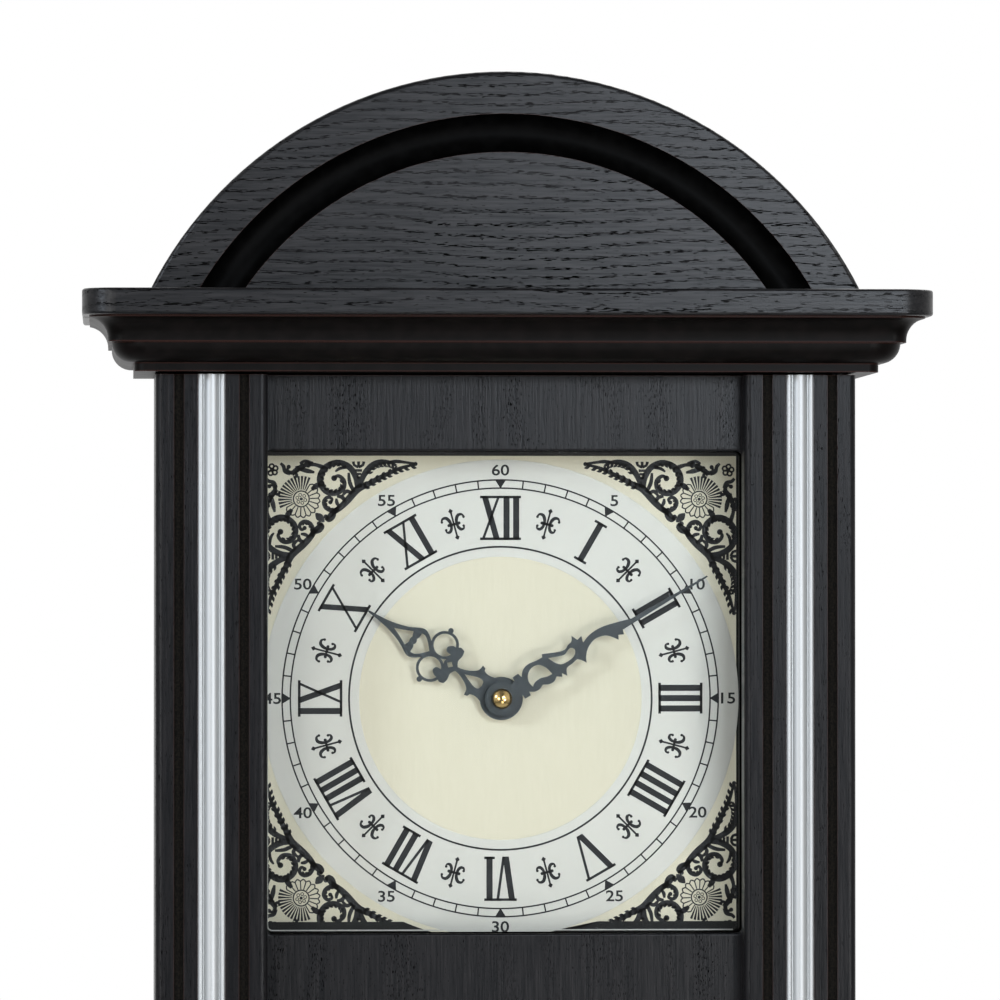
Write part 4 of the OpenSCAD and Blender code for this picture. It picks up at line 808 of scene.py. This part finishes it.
lily_tip, lily_radius = 4.9, 65.8
lily = ribbon([(0, -lily_tip, 0.7), (0, lily_tip, 0.7)], 1)
lily += ribbon([(-1.3, 0, 0.9), (1.3, 0, 0.9)], 1)
for tip in (-lily_tip, lily_tip):
    lily += [[(0, tip - 1.0), (0.9, tip), (0, tip + 1.0), (-0.9, tip)]]
upper_curl = [(1.0, -0.1, 0.9), (1.3, 1.5, 1.2), (2.2, 2.8, 1.2), (3.5, 2.9, 0.9), (4.2, 2.0, 0.6)]
lower_curl = [(1.0, 0.1, 0.9), (1.3, -1.4, 1.1), (2.1, -2.4, 1.1), (3.1, -2.3, 0.8),
              (3.5, -1.5, 0.5)]
lily += mirrored(ribbon(upper_curl) + ribbon(lower_curl)
                 + dot(1.9, 0, 0.6) + dot(4.1, 1.8, 0.5) + dot(3.3, -1.4, 0.5))
lilies = []
for hour in range(12):
    lilies += turned(lily, 30 * hour + 15, lily_radius)
print_flat("dial_lilies", lilies, "lines", dial_ink)

# %% [markdown]
# ### Minute numbers
# The numbers outside the track are set upright in a plain face. Strokes would be slow to
# draw and uneven, so Blender's own font does for them: each text is turned into a mesh,
# scaled to the printed height and joined to the rest.

# %% Minute numbers
number_h, number_r = 4.1, 83.4
widen, bolder = 1.2, 0.016  # the printed face is wider and heavier than the font


def number_shapes(text, x_mid, z_mid):
    """The outlines of a number as triangles, number_h high and centred on a point."""
    curve = bpy.data.curves.new("number", "FONT")
    curve.body = text
    curve.resolution_u = 4
    curve.offset = bolder
    carrier = bpy.data.objects.new("number", curve)
    bpy.context.scene.collection.objects.link(carrier)
    mesh = carrier.to_mesh()
    mesh.calc_loop_triangles()
    points = [(v.co.x, v.co.y) for v in mesh.vertices]
    xs, ys = [p[0] for p in points], [p[1] for p in points]
    x_font, y_font = (max(xs) + min(xs)) / 2, (max(ys) + min(ys)) / 2
    scale = number_h / (max(ys) - min(ys))
    shapes = [[((points[i][0] - x_font) * scale * widen + x_mid,
                (points[i][1] - y_font) * scale + z_mid) for i in triangle.vertices]
              for triangle in mesh.loop_triangles]
    carrier.to_mesh_clear()
    bpy.data.objects.remove(carrier)
    bpy.data.curves.remove(curve)
    return shapes


numbers = []
for minute in range(5, 65, 5):
    numbers += number_shapes(str(minute), *polar(number_r, minute * 6))
print_flat("dial_minute_numbers", numbers, "lines", dial_ink)

# %% [markdown]
# ### Corner scrollwork
# Each corner is filled with engraved scrollwork: a stem that hugs the ring and runs out in a
# leaf on both sides, a large scroll in each half, a shell in the middle and a small flower
# right in the corner. Pen strokes draw all of it. The design is symmetrical about the
# corner's diagonal, so one half is drawn, in millimetres from the corner of the print, and
# then swapped and mirrored.

# %% Corner scrollwork
corner = 87.4


def lobes(points, side, length, width, spacing, lean):
    """Small leaves along one side of a path, spacing apart: side is 1 or -1, and lean is
    their slant in degrees."""
    path = smooth([p[:2] for p in points], 10)
    shapes, walked = [], 0.0
    out_at, bow = 0.55 * length, 0.12 * length  # where a leaf is widest, and how far it bows
    for a, b in zip(path, path[1:]):
        step = math.hypot(b[0] - a[0], b[1] - a[1])
        walked += step
        if walked < spacing or not step:
            continue
        walked = 0.0
        turn = math.atan2(b[1] - a[1], b[0] - a[0]) + side * math.radians(lean)
        ux, uz = math.cos(turn), math.sin(turn)
        mid = (a[0] + ux * out_at - uz * side * bow, a[1] + uz * out_at + ux * side * bow)
        tip = (a[0] + ux * length, a[1] + uz * length)
        shapes += ribbon([(*a, width * 0.7), (*mid, width), (*tip, 0.1)], 3)
    return shapes


# Every line is a row of (away from one side, away from the other, width)
stem = [(23.4, 22.4, 0.8), (25.6, 20.0, 1.6), (28.6, 17.9, 2.0), (31.4, 15.2, 2.3),
        (34.0, 12.2, 2.4), (35.8, 10.6, 2.4), (39.0, 9.2, 1.9), (42.6, 7.2, 1.7),
        (46.5, 5.3, 1.4), (50.4, 3.5, 1.2), (56.0, 1.9, 0.8)]
upper = [(36.0, 10.2, 1.2), (37.4, 6.0, 1.9), (40.2, 2.6, 2.1), (43.4, 1.2, 1.9),
         (46.8, 1.2, 1.2), (49.4, 2.5, 0.8)]
tail = [(46.4, 1.1, 0.8), (49.4, 0.9, 1.2), (52.6, 1.2, 0.9), (56.2, 1.7, 0.8)]
scroll = [(35.2, 10.6, 1.9), (34.6, 6.8, 2.0), (32.2, 3.0, 2.0), (28.2, 1.3, 1.9),
          (24.2, 2.5, 2.0), (21.8, 5.6, 2.2), (21.6, 9.0, 2.0), (23.8, 11.9, 1.9),
          (27.0, 12.5, 1.8), (29.8, 10.9, 1.6), (30.2, 8.0, 1.4), (28.2, 6.2, 1.2),
          (26.3, 7.0, 1.0)]
small = [(28.2, 18.2, 1.6), (25.9, 18.9, 1.5), (23.6, 17.7, 1.5), (22.9, 15.6, 1.4),
         (24.2, 14.0, 1.2), (25.8, 14.6, 1.0), (25.5, 15.8, 0.8)]
hook = [(26.8, 19.2, 1.4), (26.1, 21.3, 1.5), (24.6, 22.3, 1.4), (23.5, 21.3, 1.0)]
frond = [(22.8, 3.2, 1.6), (19.6, 2.1, 1.2), (16.4, 2.2, 1.5), (13.6, 3.5, 1.8),
         (11.4, 5.0, 1.5), (9.7, 4.4, 1.0), (9.7, 3.0, 0.8)]
ties = [
    [(10.6, 5.4, 1.2), (8.7, 4.6, 1.3), (8.1, 2.7, 1.2), (7.0, 1.6, 0.9)],
    [(13.6, 3.6, 1.0), (16.6, 4.3, 1.6), (19.4, 4.9, 0.7)],
    [(14.0, 1.6, 0.6), (16.0, 0.8, 1.1), (19.0, 1.4, 0.6)],
    [(12.2, 4.6, 1.1), (13.0, 6.2, 1.0), (11.7, 6.7, 0.7)],
    [(18.4, 11.2, 1.1), (20.2, 9.8, 1.9), (21.8, 9.2, 1.2)],
    [(33.9, 12.0, 1.2), (32.3, 8.6, 1.3), (31.9, 5.0, 0.8)],
    [(33.2, 12.6, 1.0), (31.2, 11.8, 1.3), (29.6, 13.4, 0.8)],
    [(30.4, 15.8, 0.8), (29.6, 14.0, 1.4), (27.6, 13.6, 0.8)],
    [(28.6, 17.6, 0.7), (27.6, 16.0, 1.2), (27.4, 14.4, 0.7)],
    [(31.2, 3.2, 0.7), (28.8, 3.4, 1.1), (27.0, 4.6, 0.6)],
]
leaves = [  # path, side, length, width, spacing, lean
    (stem[5:], 1, 2.4, 1.2, 2.1, 40), (stem[5:10], -1, 2.0, 1.0, 2.2, 35),
    (upper[1:], 1, 2.6, 1.1, 1.7, 50), (scroll[2:11], -1, 2.0, 1.0, 1.7, 50),
    (scroll[3:6], 1, 1.6, 0.9, 2.6, 35), (small[:5], 1, 1.5, 0.8, 1.8, 50),
    (frond[1:4], 1, 1.8, 0.9, 1.8, 40), (frond[1:5], -1, 1.6, 0.9, 2.0, 40),
]
balls = [(26.6, 7.0, 1.1), (25.2, 15.8, 0.8), (23.6, 21.1, 0.9), (10.0, 2.9, 0.8), (56.3, 1.8, 0.8)]
ink_spread = 1.12  # printing ink runs, so the lines come out wider than they are drawn
half = []
for line in [stem, upper, tail, scroll, small, hook, frond] + ties:
    half += ribbon([(x, z, width * ink_spread) for x, z, width in line])
for row in leaves:
    half += lobes(*row)
for ball in balls:
    half += dot(*ball)
# A cup of three bars under the stem, with a tuft of three strokes below it
for k in range(3):
    half += ribbon([(34.2 + 0.3 * k, 4.2 + 1.3 * k, 1.0), (36.8 - 0.3 * k, 4.2 + 1.3 * k, 1.0)], 1)
    half += ribbon([(35.5, 3.0, 1.0), (33.9 + 1.6 * k, 2.2, 1.0), (33.6 + 1.9 * k, 0.9, 1.1)], 2)
print("half a corner has", len(half), "shapes")

# %% [markdown]
# ### Shell and flower
# The shell is a fan of heavy ribs that opens to the corner behind a small rosette, and a
# collar of thin ribs with a scalloped rim closes the rosette towards the dial. The flower
# has five petals, drawn as rings. All of it turns round two centres on the diagonal, so
# loops over an angle draw it, exactly even.

# %% Shell and flower
shell = (14.6, 14.6)
flower = (4.0, 4.0)


def around(radius, degrees, x=shell[0], z=shell[1]):
    """A point at radius and degrees from the shell's middle, or from another point."""
    turn = math.radians(degrees)
    return x + radius * math.cos(turn), z + radius * math.sin(turn)


def loop(x, z, radius, width, sides=16):
    """A ring of ink round a point."""
    stops = [360 * k / sides for k in range(sides + 1)]
    rim = [[around(r, a, x, z) for a in stops] for r in (radius - width / 2, radius + width / 2)]
    return [[rim[0][k], rim[0][k + 1], rim[1][k + 1], rim[1][k]] for k in range(sides)]


to_corner, to_dial = 225, 45  # degrees
heavy_ribs, heavy_turn = 15, 9.4
thin_ribs, thin_turn = 12, 19
middle = loop(*shell, 2.9, 0.5, 24) + dot(*shell, 0.6)
for k in range(heavy_ribs):
    turn = to_corner + (k - (heavy_ribs - 1) / 2) * heavy_turn
    middle += ribbon([(*around(3.4, turn), 0.3), (*around(6.0, turn), 0.6),
                      (*around(8.4, turn), 0.95)], 3)
for k in range(thin_ribs):
    turn = to_dial + (k - (thin_ribs - 1) / 2) * thin_turn
    middle += ribbon([(*around(3.2, turn), 0.4), (*around(6.2, turn), 0.45)], 1)
    if k:
        middle += ribbon([(*around(6.1, turn - thin_turn), 0.45),
                          (*around(6.9, turn - thin_turn / 2), 0.5), (*around(6.1, turn), 0.45)], 3)
for k in range(6):
    middle += loop(*around(1.5, 15 + 60 * k), 0.55, 0.3, 8)
for k in range(5):
    middle += loop(*around(1.3, 45 + 72 * k, *flower), 0.85, 0.7, 10)
middle += dot(*flower, 0.7)
middle += ribbon([(19.8, 19.8, 0.5), (21.0, 21.0, 2.7), (22.2, 22.2, 2.0), (23.0, 23.0, 0.4)], 4)

corner_art = half + [[(v, u) for u, v in shape] for shape in half] + middle
scrollwork = []
for sx in (-1, 1):
    for sz in (-1, 1):
        scrollwork += [[(sx * (corner - u), sz * (corner - v)) for u, v in shape]
                       for shape in corner_art]
print_flat("dial_scrollwork", scrollwork, "scrollwork", dial_ink)

# %% [markdown]
# ### Black border
# The cream field ends short of the plate's foot, and what lies below is black. Round the
# ring a narrow line of cream stays. A black disc with a hole would show in the corners, so
# the black is two flat shapes beside the ring, each cut out by an arc.

# %% Black border of the print
field_foot, cream_r = -81.5, 88.9
plate_side = (dial_high.x - hub.x) / PRINT_SCALE
plate_foot = (dial_low.z - hub.z) / PRINT_SCALE
foot_turn = math.degrees(math.acos(-field_foot / cream_r))
low_turn = math.degrees(math.acos(min(1, -plate_foot / cream_r)))
arc_steps = 8
stops = [180 - foot_turn + (foot_turn - low_turn) * k / arc_steps for k in range(arc_steps + 1)]
foot_half = [polar(cream_r, turn) for turn in stops]
foot_half += [(plate_side, plate_foot), (plate_side, field_foot)]
print_flat("dial_black_border", mirrored([foot_half]), "border", dial_black)

# %% [markdown]
# ### Painted highlight at the window's edge
# A thin bright line lies on the plate along the left and the foot of the window, and turns
# the corner in a small round. It is a painted highlight, the light that the window's sill
# and left edge catch, drawn in the silver lacquer as one pen stroke on top of the print.

# %% Painted window highlight
# A painted highlight: a bright silver line along the window's left edge and sill
side_x, window_highlight_top, foot_z, round_r, window_highlight_w = -85.1, 60, -84.6, 1.8, 0.45
quarter = [math.radians(15 * k) for k in range(7)]
window_highlight = [(side_x, window_highlight_top, window_highlight_w)]
window_highlight += [(side_x + round_r * (1 - math.cos(turn)), foot_z + round_r * (1 - math.sin(turn)),
            window_highlight_w) for turn in quarter]
window_highlight += [(-side_x, foot_z, window_highlight_w)]
print_flat("dial_painted_window_highlight", ribbon(window_highlight, 1), "window_highlight", dial_silver)

# %% [markdown]
# ## Finish
# Both boxes, the CAD model's above and the visual model's here, are printed in millimetres.
# The visual model has to stay inside the box of the CAD model.

# %% Sizes and finish
low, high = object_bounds()
print("visual box in mm:", [round(v / MM, 1) for v in high - low])
